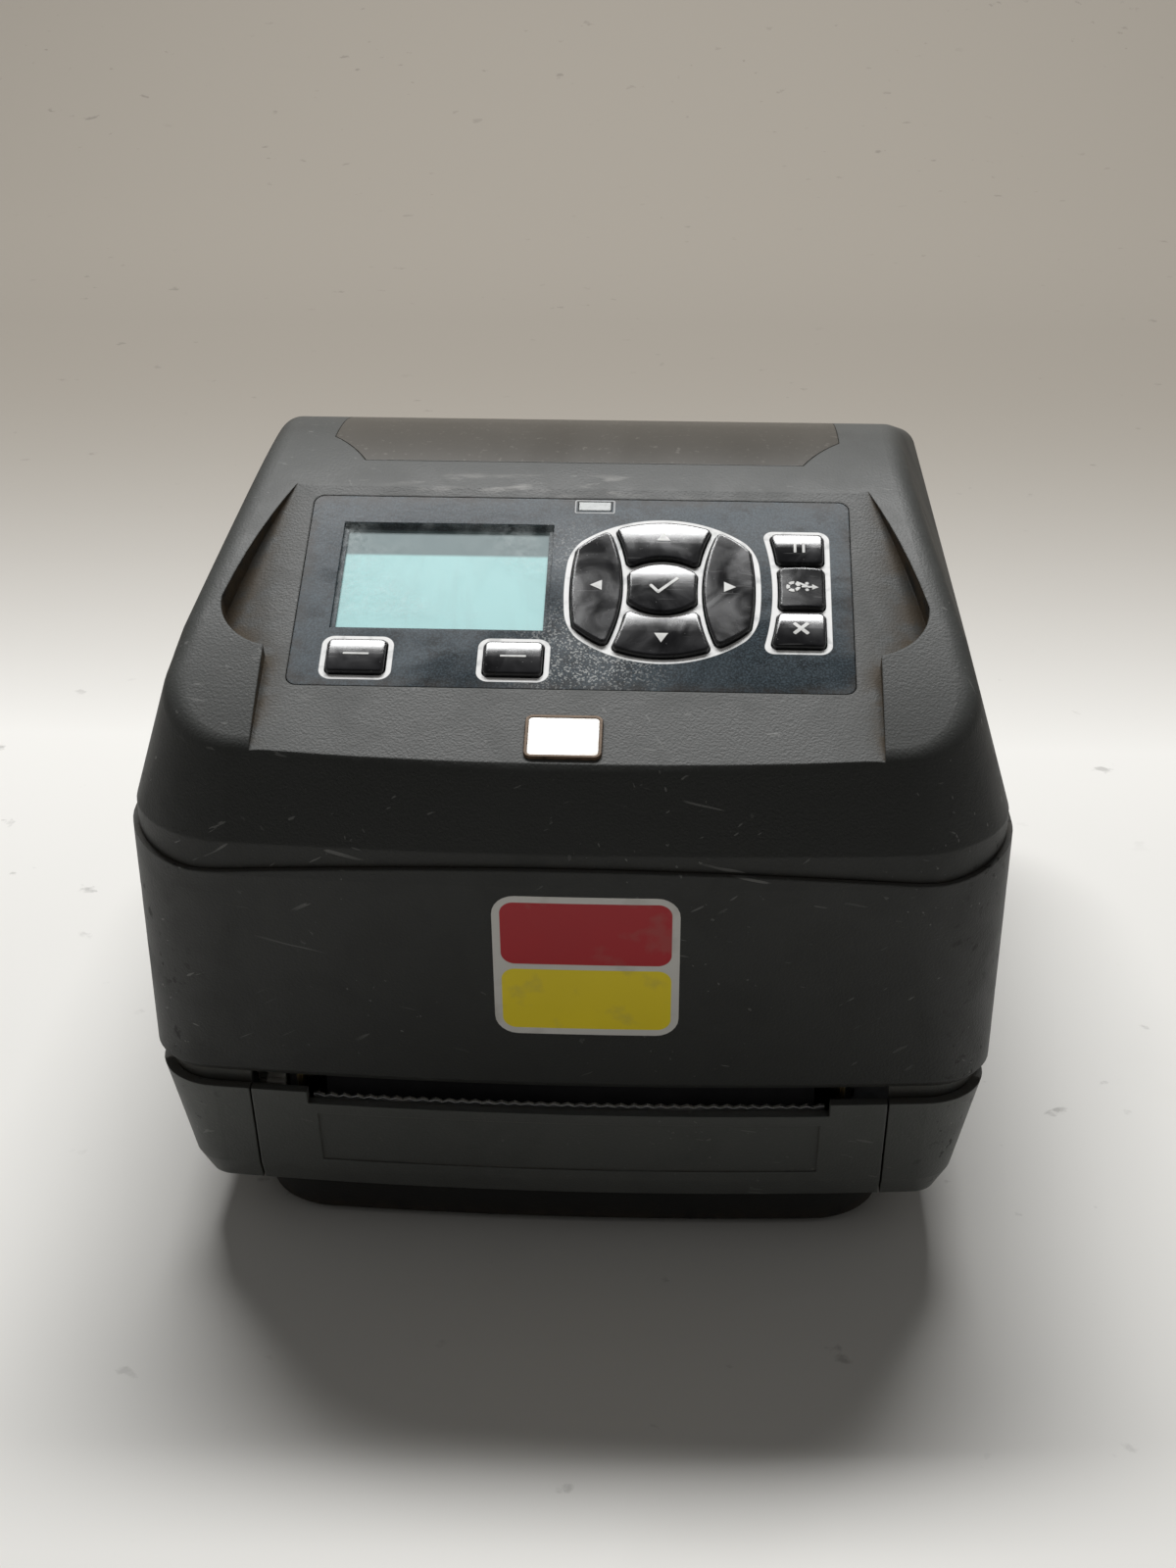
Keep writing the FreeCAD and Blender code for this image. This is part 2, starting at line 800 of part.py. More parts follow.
def roll_holder(side):
    """Holder on the left (side -1) or right (side 1), with its rack under the deck."""
    inner = holder_x
    outer = holder_x + holder_thickness
    toe_z = deck_z + 2 * slide_gap + holder_toe_radius
    reach = math.hypot(roll_y - holder_foot_y, roll_z - toe_z)
    tilt = math.atan2(roll_z - toe_z, roll_y - holder_foot_y)
    spread = math.acos((holder_toe_radius - holder_eye_radius) / reach)
    touch = []
    for a in (tilt + spread, tilt - spread):
        dy, dz = math.cos(a), math.sin(a)
        touch.append((holder_foot_y + holder_toe_radius * dy, toe_z + holder_toe_radius * dz))
        touch.append((roll_y + holder_eye_radius * dy, roll_z + holder_eye_radius * dz))
    arm = polygon_x([touch[0], touch[1], touch[3], touch[2]], inner, outer)
    eye = rod_x(holder_eye_radius, inner, outer, roll_y, roll_z)
    toe = rod_x(holder_toe_radius, inner, outer, holder_foot_y, toe_z)
    floor = deck_z + 2 * slide_gap
    guide = box(inner, outer, holder_foot_y - guide_reach, holder_foot_y, floor, floor + guide_height)
    foot = box(inner, inner + holder_neck_length, holder_foot_y - holder_toe_radius,
               holder_foot_y + holder_toe_radius, floor, floor + holder_thickness)
    neck = box(inner, inner + holder_neck_length - slide_gap, holder_foot_y - holder_neck_half,
               holder_foot_y + holder_neck_half, rack_top() - holder_thickness / 2, floor + 1)
    axle = rod_x(hub_axle_radius, inner - hub_length - hub_flange, inner, roll_y, roll_z)
    lightening = rod_x(holder_eye_radius / 3, inner, outer, (roll_y + holder_foot_y) / 2, (roll_z + toe_z) / 2)
    right = fused([arm, eye, toe, guide, foot, neck, axle]).cut(lightening)
    body = right if side > 0 else mirror_x(right)
    rack_y = holder_foot_y + side * rack_radius
    tail = holder_x + holder_neck_length / 2
    overlap = 4 * rack_module * math.pi
    x0, x1 = sorted((side * tail, -side * overlap))
    bar = rack(x0, x1, rack_y, rack_top() - rack_height, rack_top() - holder_thickness / 2,
               -side, rack_back)
    web_x0, web_x1 = sorted((side * holder_x, side * tail))
    web_y0, web_y1 = sorted((holder_foot_y, rack_y + side * rack_back))
    web = box(web_x0, web_x1, web_y0, web_y1, rack_top() - holder_thickness / 2,
              rack_top() + rack_drop - slide_gap)
    return fused([body, bar, web])


def roll_hub(side):
    inner = holder_x - slide_gap
    sleeve = rod_x(core_radius, inner - hub_flange - hub_length, inner - hub_flange, roll_y, roll_z)
    flange = rod_x(hub_flange_radius, inner - hub_flange, inner, roll_y, roll_z)
    hub = sleeve.fuse(flange)
    hub = hub.cut(rod_x(hub_axle_radius + fit_gap, 0, inner + 1, roll_y, roll_z)).removeSplitter()
    return hub if side > 0 else mirror_x(hub)


def holder_pinion():
    top = rack_top() - holder_thickness / 2
    wheel = gear(rack_module, rack_teeth, rack_height - holder_thickness / 2)
    wheel.translate(Vec(0, holder_foot_y, top - (rack_height - holder_thickness / 2)))
    return wheel.cut(rod_z(stud_radius + fit_gap, 0, deck_z, 0, holder_foot_y))


def pinion_clip():
    top = rack_top() - rack_height - slide_gap
    return rod_z(2 * stud_radius, top - clip_thickness, top, 0, holder_foot_y)


def media_sensor():
    top = deck_z + slide_gap / 2
    half = sensor_length / 2
    body = box(-half, half, sensor_y - sensor_width / 2, sensor_y + sensor_width / 2, top - sensor_height, top)
    lip = box(-half, half, sensor_y - sensor_width / 2 - wall, sensor_y + sensor_width / 2 + wall,
              top - sensor_height, deck_z - deck_thickness - slide_gap)
    lens = rod_z(sensor_eye_radius, top - sensor_eye_radius, top, 0, sensor_y)
    return fused([body, lip]).cut(lens)


# Platen and drive

def side_frame(side):
    x0, x1 = sorted((side * frame_x, side * (frame_x + frame_thickness)))
    top = platen_z + bushing_radius + frame_land
    front = platen_y - bushing_radius - frame_land / 2
    heel = -base_front + base_foot_inset + bezel_depth + bezel_gap
    rear = motor_y + motor_radius - motor_shoulder
    gear_y, gear_z = drive_centre()
    plate = polygon_x([(heel, base_floor_z), (rear, base_floor_z), (rear, motor_z + frame_crest),
                       (gear_y + frame_crest, gear_z + frame_crest), (front + frame_bevel, top),
                       (front, top - frame_bevel), (front, platen_z - bushing_radius)], x0, x1)
    foot_x0, foot_x1 = sorted((side * frame_x, side * (pan_half + wall)))
    foot = box(foot_x0, foot_x1, heel + wall, rear, base_floor_z, base_floor_z + frame_thickness)
    frame = fused([plate, foot])
    frame = frame.cut(rod_x(bushing_radius, -case_width, case_width, platen_y, platen_z))
    if side < 0:
        frame = frame.cut(rod_x(pitch_radius[pinion_teeth], -case_width, 0, motor_y, motor_z))
        frame = fused([frame, gear_stud()])
    return frame


def platen_bushings():
    inner = frame_x - bushing_flange
    sleeve = rod_x(bushing_radius, frame_x, frame_x + frame_thickness, platen_y, platen_z)
    flange = rod_x(bushing_flange_radius, inner, frame_x, platen_y, platen_z)
    bush = sleeve.fuse(flange)
    bush = bush.cut(rod_x(platen_shaft_radius + fit_gap, 0, case_width, platen_y, platen_z)).removeSplitter()
    return both_sides(bush)


def gear_planes():
    """Inner and outer faces of the two gear planes on the left of the frame."""
    near = -(frame_x + frame_thickness + gear_gap)
    return near - gear_width, near, near - 2 * gear_width - gear_gap, near - gear_width - gear_gap


def platen_shaft():
    inner0 = gear_planes()[0]
    outer = frame_x + frame_thickness + gear_gap
    return rod_x(platen_shaft_radius, inner0 - slide_gap, outer, platen_y, platen_z)


def platen_sleeve():
    sleeve = rod_x(platen_radius, -platen_half, platen_half, platen_y, platen_z)
    return sleeve.cut(rod_x(platen_shaft_radius, -case_width, case_width, platen_y, platen_z))


def platen_gear():
    x0, x1, _, _ = gear_planes()
    to_gear = angle_to(platen_y, platen_z, *drive_centre())
    wheel = gear_x(drive_module, platen_teeth, x0, x1, platen_y, platen_z, to_gear)
    return wheel.cut(rod_x(platen_shaft_radius, -case_width, case_width, platen_y, platen_z))


def reduction_gear():
    x0, x1, x2, x3 = gear_planes()
    y, z = drive_centre()
    to_platen = angle_to(y, z, platen_y, platen_z)
    small = gear_x(drive_module, small_teeth, x0, x1, y, z, to_platen + math.pi / small_teeth)
    large = gear_x(drive_module, large_teeth, x2, x3, y, z, angle_to(y, z, motor_y, motor_z))
    collar = rod_x(pitch_radius[small_teeth] - dedendum * drive_module, x3, x0, y, z)
    return fused([small, collar, large]).cut(rod_x(stud_radius + fit_gap, -case_width, 0, y, z))


def gear_stud():
    """Stud riveted in the left frame plate, with a shoulder for the gear."""
    y, z = drive_centre()
    stud = rod_x(stud_radius, gear_planes()[2] - slide_gap, -frame_x - frame_thickness, y, z)
    seat = rod_x(2 * stud_radius, gear_planes()[1] + slide_gap, -frame_x - frame_thickness, y, z)
    return fused([stud, seat])


def gear_clip():
    y, z = drive_centre()
    end = gear_planes()[2] - slide_gap
    return rod_x(2 * stud_radius, end - clip_thickness, end, y, z)


def motor_pinion():
    _, _, x2, x3 = gear_planes()
    to_gear = angle_to(motor_y, motor_z, *drive_centre())
    wheel = gear_x(drive_module, pinion_teeth, x2, x3, motor_y, motor_z, to_gear + math.pi / pinion_teeth)
    shaft = rod_x(motor_shaft_radius, x2, -frame_x + motor_flange + motor_length / 2, motor_y, motor_z)
    return fused([wheel, shaft])


def drive_motor():
    face = -frame_x
    can = rod_x(motor_radius, face + motor_flange, face + motor_flange + motor_length, motor_y, motor_z)
    rim = [e for e in can.Edges if e.BoundBox.XMin > face + motor_length]
    can = can.makeFillet(motor_round, rim)
    ear = motor_radius + motor_ear
    flange = box(face, face + motor_flange, motor_y - ear, motor_y + ear, motor_z - motor_ear, motor_z + motor_ear)
    plate = rod_x(motor_radius - motor_shoulder, face, face + motor_flange, motor_y, motor_z)
    motor = fused([can, flange, plate])
    deep = face + motor_flange + motor_length / 2 + slide_gap
    motor = motor.cut(rod_x(motor_shaft_radius + fit_gap, face, deep, motor_y, motor_z))
    for side in (-1, 1):
        hole_y = motor_y + side * (ear - motor_ear / 2)
        motor = motor.cut(rod_x(screw_radius, face, face + motor_flange, hole_y, motor_z))
    return motor


# Boards and sockets

def main_board():
    top = board_z + board_thickness
    board = box(-main_board_half, main_board_half, main_board_y0, main_board_y1, board_z, top)
    chips = [box(-chip_half, chip_half, chip_y - chip_half, chip_y + chip_half, top, top + chip_height)]
    for side in (-1, 1):
        x = side * side_chip_x
        chips.append(box(x - side_chip_half, x + side_chip_half, chip_y - side_chip_half, chip_y + side_chip_half,
                         top, top + chip_height))
        chips.append(rod_z(capacitor_radius, top, top + capacitor_height, x / 2, capacitor_y))
    board = fused([board] + chips)
    for x, y in board_posts():
        board = board.cut(rod_z(screw_radius, 0, top + 1, x, y))
    return board


def port_board():
    low = base_floor_z + port_boss
    return box(-port_board_half, port_board_half, port_board_y, base_rear - wall - slide_gap,
               low, low + board_thickness)


def socket_block(name):
    x, width, height = port_layout()[name]
    rear = base_rear + port_proud
    return box(x - width / 2, x + width / 2, rear - port_depth, rear, port_floor(), port_floor() + height)


def square_socket(name, side_wall, top_wall):
    x, width, height = port_layout()[name]
    rear = base_rear + port_proud
    half = width / 2 - side_wall
    return socket_block(name).cut(box(x - half, x + half, rear - socket_depth, rear + 1,
                                      port_floor() + top_wall, port_floor() + height - top_wall))


def usb_port():
    return square_socket("usb_port", socket_wall, socket_wall)


def network_port():
    return square_socket("network_port", socket_wall, 1.5 * socket_wall)


def serial_port():
    """Shell with a D-shaped mouth."""
    rear = base_rear + port_proud
    low = port_floor() + socket_wall
    high = port_floor() + serial_height - socket_wall
    half = serial_width / 4
    corners = [Vec(serial_x + dx, rear + 1, z) for dx, z in
               ((-half + socket_wall, low), (half - socket_wall, low), (half, high), (-half, high))]
    mouth = Part.Face(Part.makePolygon(corners + corners[:1])).extrude(Vec(0, -socket_depth / 2 - 1, 0))
    return socket_block("serial_port").cut(mouth)


def power_inlet():
    rear = base_rear + port_proud
    z = port_floor() + inlet_height / 2
    bore = Part.makeCylinder(inlet_bore, socket_depth, Vec(inlet_x, rear - socket_depth, z), Vec(0, 1, 0))
    pin = Part.makeCylinder(inlet_pin, socket_depth - 1, Vec(inlet_x, rear - socket_depth, z), Vec(0, 1, 0))
    return fused([socket_block("power_inlet").cut(bore), pin])


def switch_frame():
    outer_x = switch_half_width + switch_frame_wall
    outer_z = switch_half_height + switch_frame_wall
    rear = base_rear + switch_frame_proud
    body = box(switch_x - outer_x, switch_x + outer_x, base_rear - switch_depth, base_rear,
               switch_z - outer_z, switch_z + outer_z)
    lip = wall / 2
    flange = box(switch_x - outer_x - lip, switch_x + outer_x + lip, base_rear, rear,
                 switch_z - outer_z - lip, switch_z + outer_z + lip)
    hollow = box(switch_x - switch_half_width, switch_x + switch_half_width, base_rear - switch_depth + wall, rear,
                 switch_z - switch_half_height, switch_z + switch_half_height)
    pins = rod_x(rocker_pin, switch_x - outer_x, switch_x + outer_x, base_rear - switch_frame_wall, switch_z)
    gap = box(switch_x - switch_half_width + wall, switch_x + switch_half_width - wall, 0, case_depth, 0, case_depth)
    return fused([fused([body, flange]).cut(hollow), pins.cut(gap)])


def power_switch():
    """Rocker with two faces at an obtuse angle, resting with its upper half out."""
    y = base_rear - switch_frame_wall
    half = switch_half_height - 2 * slide_gap
    rise = switch_frame_wall + switch_frame_proud
    drop = half * math.tan(math.radians(rocker_tilt))
    tip = half - slide_gap
    points = [(y - rocker_depth, switch_z - half / 2), (y + rise - drop, switch_z - tip), (y + rise, switch_z),
              (y + rise - drop, switch_z + tip), (y - rocker_depth, switch_z + half / 2)]
    wide = switch_half_width - slide_gap
    rocker = polygon_x(points, switch_x - wide, switch_x + wide)
    rocker = rocker.cut(rod_x(rocker_pin + fit_gap, 0, case_width, y, switch_z))
    rocker.rotate(Vec(0, y, switch_z), Vec(1, 0, 0), -rocker_tilt)
    return rocker


# Hinge

def base_ear_x():
    return lid_ear_x + lid_ear_width + ear_gap


def hinge_brackets():
    x0 = base_ear_x()
    x1 = x0 + base_ear_width
    stem_y = hinge_y - 3 * hinge_eye_radius
    x_foot = deck_half - wall
    arm = polygon_x([(stem_y, deck_z), (stem_y + 1.5 * hinge_eye_radius, deck_z),
                     (hinge_y, hinge_z - hinge_eye_radius), (hinge_y, hinge_z + hinge_eye_radius),
                     (stem_y, hinge_z)], x0, x1)
    eye = rod_x(hinge_eye_radius, x0, x1, hinge_y, hinge_z)
    foot = box(x_foot - 4 * wall, x1, stem_y, stem_y + 1.5 * hinge_eye_radius, deck_z, deck_z + wall)
    bracket = fused([arm, eye, foot]).cut(rod_x(hinge_pin_radius, 0, case_width, hinge_y, hinge_z))
    return both_sides(bracket)


def hinge_pins():
    inner = lid_ear_x - ear_gap
    pin = rod_x(hinge_pin_radius, inner, base_ear_x() + base_ear_width, hinge_y, hinge_z)
    head = rod_x(1.5 * hinge_pin_radius, inner - hinge_pin_head, inner, hinge_y, hinge_z)
    return both_sides(fused([pin, head]))


# Lid shells

def seam_cutter(above, gap=0.0):
    """Everything above or below the seam, which arches across the front and dips at the corners."""
    half = case_width / 2 + 1
    dip = seam_z
    mid = (seam_turn + half) / 2
    near = -case_depth

    def point(x, z):
        return Vec(x, near, z + gap)

    left = [point(-half, dip + seam_side_rise), point(-mid, dip + seam_side_rise / 4), point(-seam_turn, dip)]
    right = [point(-v.x, v.z - gap) for v in reversed(left)]
    far = skirt_top_z + case_depth if above else 0.0
    edges = [arc(*left), arc(left[2], point(0, dip + seam_arch), right[0]), arc(*right)]
    low = [Vec(half, near, far), Vec(-half, near, far)]
    edges += [line(right[2], low[0]), line(low[0], low[1]), line(low[1], left[0])]
    return Part.Face(Part.Wire(edges)).extrude(Vec(0, 2 * case_depth, 0))


def shell_level(z, inset):
    """Outline of the shell between its lip and the seam."""
    share = min((z - lip_z) / (seam_z - lip_z), 1.0)

    def between(lip, seam):
        return lip + share * (seam - lip)

    return outline(between(shell_lip_half, half_width), between(shell_lip_front, half_depth),
                   between(shell_lip_rear, half_depth), between(shell_lip_corner, seam_corner), z, inset)


def shell_form(inset=0.0, chamfer=0.0):
    levels = [(lip_z, inset + chamfer), (seam_z, inset), (seam_z + seam_arch + wall, inset)]
    if chamfer:
        levels.insert(1, (lip_z + shell_chamfer_height, inset))
    return loft([shell_level(z, draw) for z, draw in levels])


def latch_window():
    front = latch_y - latch_grip_length / 2 - latch_travel_gap
    rear = latch_y + latch_grip_length / 2 + slide_gap
    top = lip_z + wall + latch_grip_height + latch_lift
    return box(latch_x + latch_width, case_width, front, rear, 0, top)


def upper_shell():
    shell = shell_form(0.0, shell_chamfer).cut(shell_form(wall)).cut(seam_cutter(True))
    relief = polygon_x([(rear_relief_start, lip_z), (case_depth, lip_z), (case_depth, lip_z + rear_relief),
                        (case_depth / 2, lip_z + rear_relief)], -case_width, case_width)
    shell = shell.cut(relief)
    shell = shell.cut(latch_window()).cut(mirror_x(latch_window()))
    notch = box(base_ear_x() - ear_gap / 2, base_ear_x() + base_ear_width + ear_gap, hinge_y, case_depth, 0, hinge_z)
    shell = shell.cut(notch).cut(mirror_x(notch))
    ear_end = case_depth / 2 - wall / 2
    ear = box(lid_ear_x, lid_ear_x + lid_ear_width, hinge_y, ear_end,
              hinge_z - hinge_eye_radius / 2, hinge_z + 2 * hinge_eye_radius)
    ear = ear.fuse(rod_x(hinge_eye_radius, lid_ear_x, lid_ear_x + lid_ear_width, hinge_y, hinge_z))
    ear = ear.common(shell_form(wall / 2))
    boss = rod_x(latch_pin_radius, latch_x - 1, case_width / 2, latch_y, latch_z)
    collar = rod_x(2 * latch_pin_radius, latch_x + latch_width + slide_gap, case_width / 2, latch_y, latch_z)
    boss = boss.fuse(collar).common(shell_form(wall / 2))
    shell = fused([shell, ear, mirror_x(ear), boss, mirror_x(boss)])
    end = lid_ear_x + lid_ear_width + ear_gap
    return shell.cut(rod_x(hinge_pin_radius + fit_gap, -end, end, hinge_y, hinge_z))


def skin_points(offset):
    """Front line, arched front, hump and rear fall of the roof skin, lowered by an offset."""
    half = crest_t / 2
    radius = (half ** 2 + skin_bulge ** 2) / (2 * skin_bulge)
    half_angle = math.asin(half / radius)
    cy, cz = panel_point(half, skin_bulge - radius)
    r = radius - offset
    start, crest = slope + half_angle, slope - half_angle

    def on_arch(a, rr, yy, zz):
        return Vec(0, yy - rr * math.sin(a), zz + rr * math.cos(a))

    hump = hump_radius - offset
    top = on_arch(crest, radius, cy, cz)
    hy = top.y + hump_radius * math.sin(crest)
    hz = top.z - hump_radius * math.cos(crest)
    fall = -math.radians(rear_fall)
    return [on_arch(start, r, cy, cz), on_arch(slope, r, cy, cz), on_arch(crest, r, cy, cz),
            on_arch((crest + fall) / 2, hump, hy, hz), on_arch(fall, hump, hy, hz)], start


def skin_prism(offset=0.0):
    """All that lies under the roof skin."""
    (front, arch, crest, peak, fall), start = skin_points(offset)
    reach = case_depth / 4
    nose = front - Vec(0, reach * math.cos(start), reach * math.sin(start))
    run = case_depth - fall.y
    tail = Vec(0, case_depth, fall.z - run * math.tan(math.radians(rear_fall)))
    floor = -case_depth
    edges = [line(nose, front), arc(front, arch, crest), arc(crest, peak, fall), line(fall, tail),
             line(tail, Vec(0, tail.y, floor)), line(Vec(0, tail.y, floor), Vec(0, nose.y, floor)),
             line(Vec(0, nose.y, floor), nose)]
    solid = profile_x(edges, case_width)
    solid.translate(Vec(-case_width, 0, 0))
    return solid


def cover_form(inset=0.0):
    """Skirt and leaning walls, before the roof skin trims them."""
    top_z = shoulder_z + case_depth / 8
    wall_draw = (shoulder_z - skirt_top_z) * math.tan(math.radians(cover_lean))
    top_draw = wall_draw + (top_z - shoulder_z) * math.tan(math.radians(shoulder_lean))
    half = case_width / 2 - skirt_inset
    front = case_depth / 2 - skirt_inset
    corner = seam_corner - skirt_inset
    low = outline(half, front, front, corner, seam_z - wall, inset)
    skirt = outline(half, front, front, corner, skirt_top_z, inset)
    shoulder = outline(half, front, front, corner, shoulder_z, inset + wall_draw)
    top = outline(half, front, front, corner, top_z, inset + top_draw)
    return loft([low, skirt, shoulder, top])


def roof_edges(solid):
    """Edges where the leaning walls meet the roof skin."""
    found = []
    for edge in solid.Edges:
        middle = edge.valueAt((edge.FirstParameter + edge.LastParameter) / 2)
        if middle.z < skirt_top_z + wall:
            continue
        heights = []
        for face in solid.ancestorsOfType(edge, Part.Face):
            u, v = face.Surface.parameter(middle)
            heights.append(abs(face.normalAt(u, v).z))
        if len(heights) == 2 and min(heights) < 0.5 < max(heights) - 0.1:
            found.append(edge)
    return found


def pod_cutter():
    """Removes the skin above the sloping pod: flat in the middle, rolled off at both sides."""
    deep = scoop_depth + wall
    corner = [Vec(tray_half, tray_step_t, 0), Vec(scoop_half - scoop_corner, tray_step_t + scoop_corner_rise, 0),
              Vec(scoop_half, scoop_mid_t, 0)]
    flank = [corner[2], Vec(scoop_half - scoop_flank, scoop_mid_t + scoop_flank_t, 0),
             Vec(pod_half + pod_spread, crest_t + pod_tail, 0)]
    front = Vec(tray_half, -far_reach, 0)
    right = [line(front, corner[0]), arc(*corner), arc(*flank)]

    left = [arc(*[flip(v) for v in reversed(flank)]), arc(*[flip(v) for v in reversed(corner)]),
            line(flip(corner[0]), flip(front))]
    edges = right + [line(flank[2], flip(flank[2]))] + left + [line(flip(front), front)]
    zone = Part.Face(Part.Wire(edges)).extrude(Vec(0, 0, deep + far_reach))
    zone.translate(Vec(0, 0, -deep))
    return on_panel(zone).cut(pod_form())


def pod_form():
    """Long bar under the panel plane with a rolled edge that runs out past the scoop on each side."""
    edge = scoop_half + wall
    drop = scoop_roll - math.sqrt(scoop_roll ** 2 - (edge - pod_half) ** 2)
    angle = math.asin((edge - pod_half) / scoop_roll) / 2
    low = -far_reach

    def right_side(x, d):
        return Vec(x, -far_reach, d)

    start = right_side(pod_half, 0)
    mid = right_side(pod_half + scoop_roll * math.sin(angle), -scoop_roll * (1 - math.cos(angle)))
    end = right_side(edge, -drop)
    foot = right_side(edge, low)

    edges = [line(flip(start), start), arc(start, mid, end), line(end, foot), line(foot, flip(foot)),
             line(flip(foot), flip(end)), arc(flip(end), flip(mid), flip(start))]
    return on_panel(Part.Face(Part.Wire(edges)).extrude(Vec(0, case_depth / 2, 0)))


def window_plan(inset, z0, z1):
    """Plan of the roof window: a front edge with concave flared corners and a wide rear."""
    front = window_front_y + inset
    rear = window_rear_y - inset
    half = window_half - inset
    nose = window_front_half - inset
    flare_y = front + window_flare
    bend = Vec(nose + window_bend_x * (half - nose), front + window_bend_y * window_flare, z0)
    tip = Vec(half, flare_y, z0)
    a = Vec(nose, front, z0)
    r = window_corner
    c0 = Vec(half, rear - r, z0)
    cut = r * (1 - math.sqrt(0.5))
    c1 = Vec(half - cut, rear - cut, z0)
    c2 = Vec(half - r, rear, z0)

    edges = [line(flip(a), a), arc(a, bend, tip), line(tip, c0), arc(c0, c1, c2), line(c2, flip(c2)),
             arc(flip(c2), flip(c1), flip(c0)), line(flip(c0), flip(tip)), arc(flip(tip), flip(bend), flip(a))]
    return Part.Face(Part.Wire(edges)).extrude(Vec(0, 0, z1 - z0))


def cover_cavity():
    """Hollow of the cover, kept clear of the pod, its scoops and the panel well."""
    hollow = cover_form(wall).common(skin_prism(roof))
    under_pod = panel_box(-case_width, case_width, -far_reach, crest_t, -roof, crest_t)
    hollow = hollow.cut(under_pod)
    for side in (-1, 1):
        x0, x1 = sorted((side * (ribbon_plate_x + ribbon_plate), side * case_width))
        hollow = hollow.cut(panel_box(x0, x1, -far_reach, crest_t + far_reach, -carriage_drop, crest_t))
    rim = panel_plate(-wall, -panel_well, 0)
    return hollow.cut(rim)


def top_cover():
    body = cover_form().common(skin_prism()).Solids[0]
    body = body.makeFillet(edge_round, roof_edges(body))
    body = body.cut(seam_cutter(False))
    body = body.cut(pod_cutter())
    body = body.cut(cover_cavity())
    body = body.cut(panel_plate(-panel_gap, -overlay_thickness, crest_t))
    body = body.cut(panel_plate(panel_ledge, -2 * panel_well, crest_t))
    body = body.cut(on_panel(light_plan(-slide_gap, -2 * panel_well, 0)))
    low = skirt_top_z
    high = low + case_depth
    seat = window_plan(-panel_gap, low, high).cut(skin_prism(window_thickness))
    return body.cut(seat).cut(window_plan(window_ledge, low, high))


def media_window():
    plate = window_plan(0.0, skirt_top_z, skirt_top_z + case_depth)
    return plate.common(skin_prism()).cut(skin_prism(window_thickness))


# Control panel

def disc(x, t, radius, height):
    return Part.makeCylinder(radius, height, Vec(x, t, 0))


def nav_plan(height, grow):
    """Barrel-shaped outline of the whole navigation pad."""
    half = nav_half_width + grow
    tall = nav_half_height + grow
    sides = [Vec(nav_x + sx * half, nav_t + st * nav_side_t, 0)
             for sx, st in ((-1, 1), (1, 1), (1, -1), (-1, -1))]
    top = Vec(nav_x, nav_t + tall, 0)
    right = Vec(nav_x + half + nav_side_bow, nav_t, 0)
    bottom = Vec(nav_x, nav_t - tall, 0)
    left = Vec(nav_x - half - nav_side_bow, nav_t, 0)
    edges = [arc(sides[0], top, sides[1]), arc(sides[1], right, sides[2]), arc(sides[2], bottom, sides[3]),
             arc(sides[3], left, sides[0])]
    return Part.Face(Part.Wire(edges)).extrude(Vec(0, 0, height))


def nav_keys(height, grow):
    pad = nav_plan(height, grow)
    centre = nav_divider_x + nav_divider_radius
    left = pad.common(disc(nav_x - centre, nav_t, nav_divider_radius + grow, height))
    right = pad.common(disc(nav_x + centre, nav_t, nav_divider_radius + grow, height))
    column = pad
    for side in (-1, 1):
        column = column.cut(disc(nav_x + side * centre, nav_t, nav_divider_radius + nav_line - grow, height))
    drop = select_radius - select_half
    upper = disc(nav_x, nav_t - drop, select_radius + grow, height)
    lower = disc(nav_x, nav_t + drop, select_radius + grow, height)
    select = column.common(upper).common(lower)
    above = column.cut(disc(nav_x, nav_t - drop, select_radius + nav_line - grow, height))
    below = column.cut(disc(nav_x, nav_t + drop, select_radius + nav_line - grow, height))
    reach = 2 * nav_half_height
    top_half = box(nav_x - reach, nav_x + reach, nav_t, nav_t + reach, 0, height)
    low_half = box(nav_x - reach, nav_x + reach, nav_t - reach, nav_t, 0, height)
    return {"key_left": left, "key_right": right, "key_select": select,
            "key_up": above.common(top_half), "key_down": below.common(low_half)}


def column_key(t0, t1, height, grow):
    plate = box(column_x0 - grow, column_x1 + grow, t0 - grow, t1 + grow, 0, height)
    middle = (pause_t1 + cancel_t0) / 2
    return plate.cut(disc(column_bow_x - column_bow_radius, middle, column_bow_radius - grow, height))


def soft_key(x, height, grow):
    half = soft_width / 2 + grow
    tall = soft_height / 2 + grow
    return box(x - half, x + half, soft_t - tall, soft_t + tall, 0, height)


def key_forms(height, grow=0.0):
    """Plan forms of all keys, standing on z = 0, or the slightly larger holes around them."""
    keys = nav_keys(height, grow)
    keys["key_soft_left"] = soft_key(soft_left_x, height, grow)
    keys["key_soft_right"] = soft_key(soft_right_x, height, grow)
    keys["key_pause"] = column_key(pause_t0, pause_t1, height, grow)
    keys["key_feed"] = column_key(feed_t0, feed_t1, height, grow)
    keys["key_cancel"] = column_key(cancel_t0, cancel_t1, height, grow)
    rounded = {}
    for name, key in keys.items():
        solid = key.Solids[0]
        uprights = [e for e in solid.Edges if abs(e.Vertexes[0].Z - e.Vertexes[-1].Z) > height / 2]
        rounded[name] = solid.makeFillet(key_corner + grow, uprights)
    return rounded


def key_floor():
    return -panel_well + key_travel + slide_gap


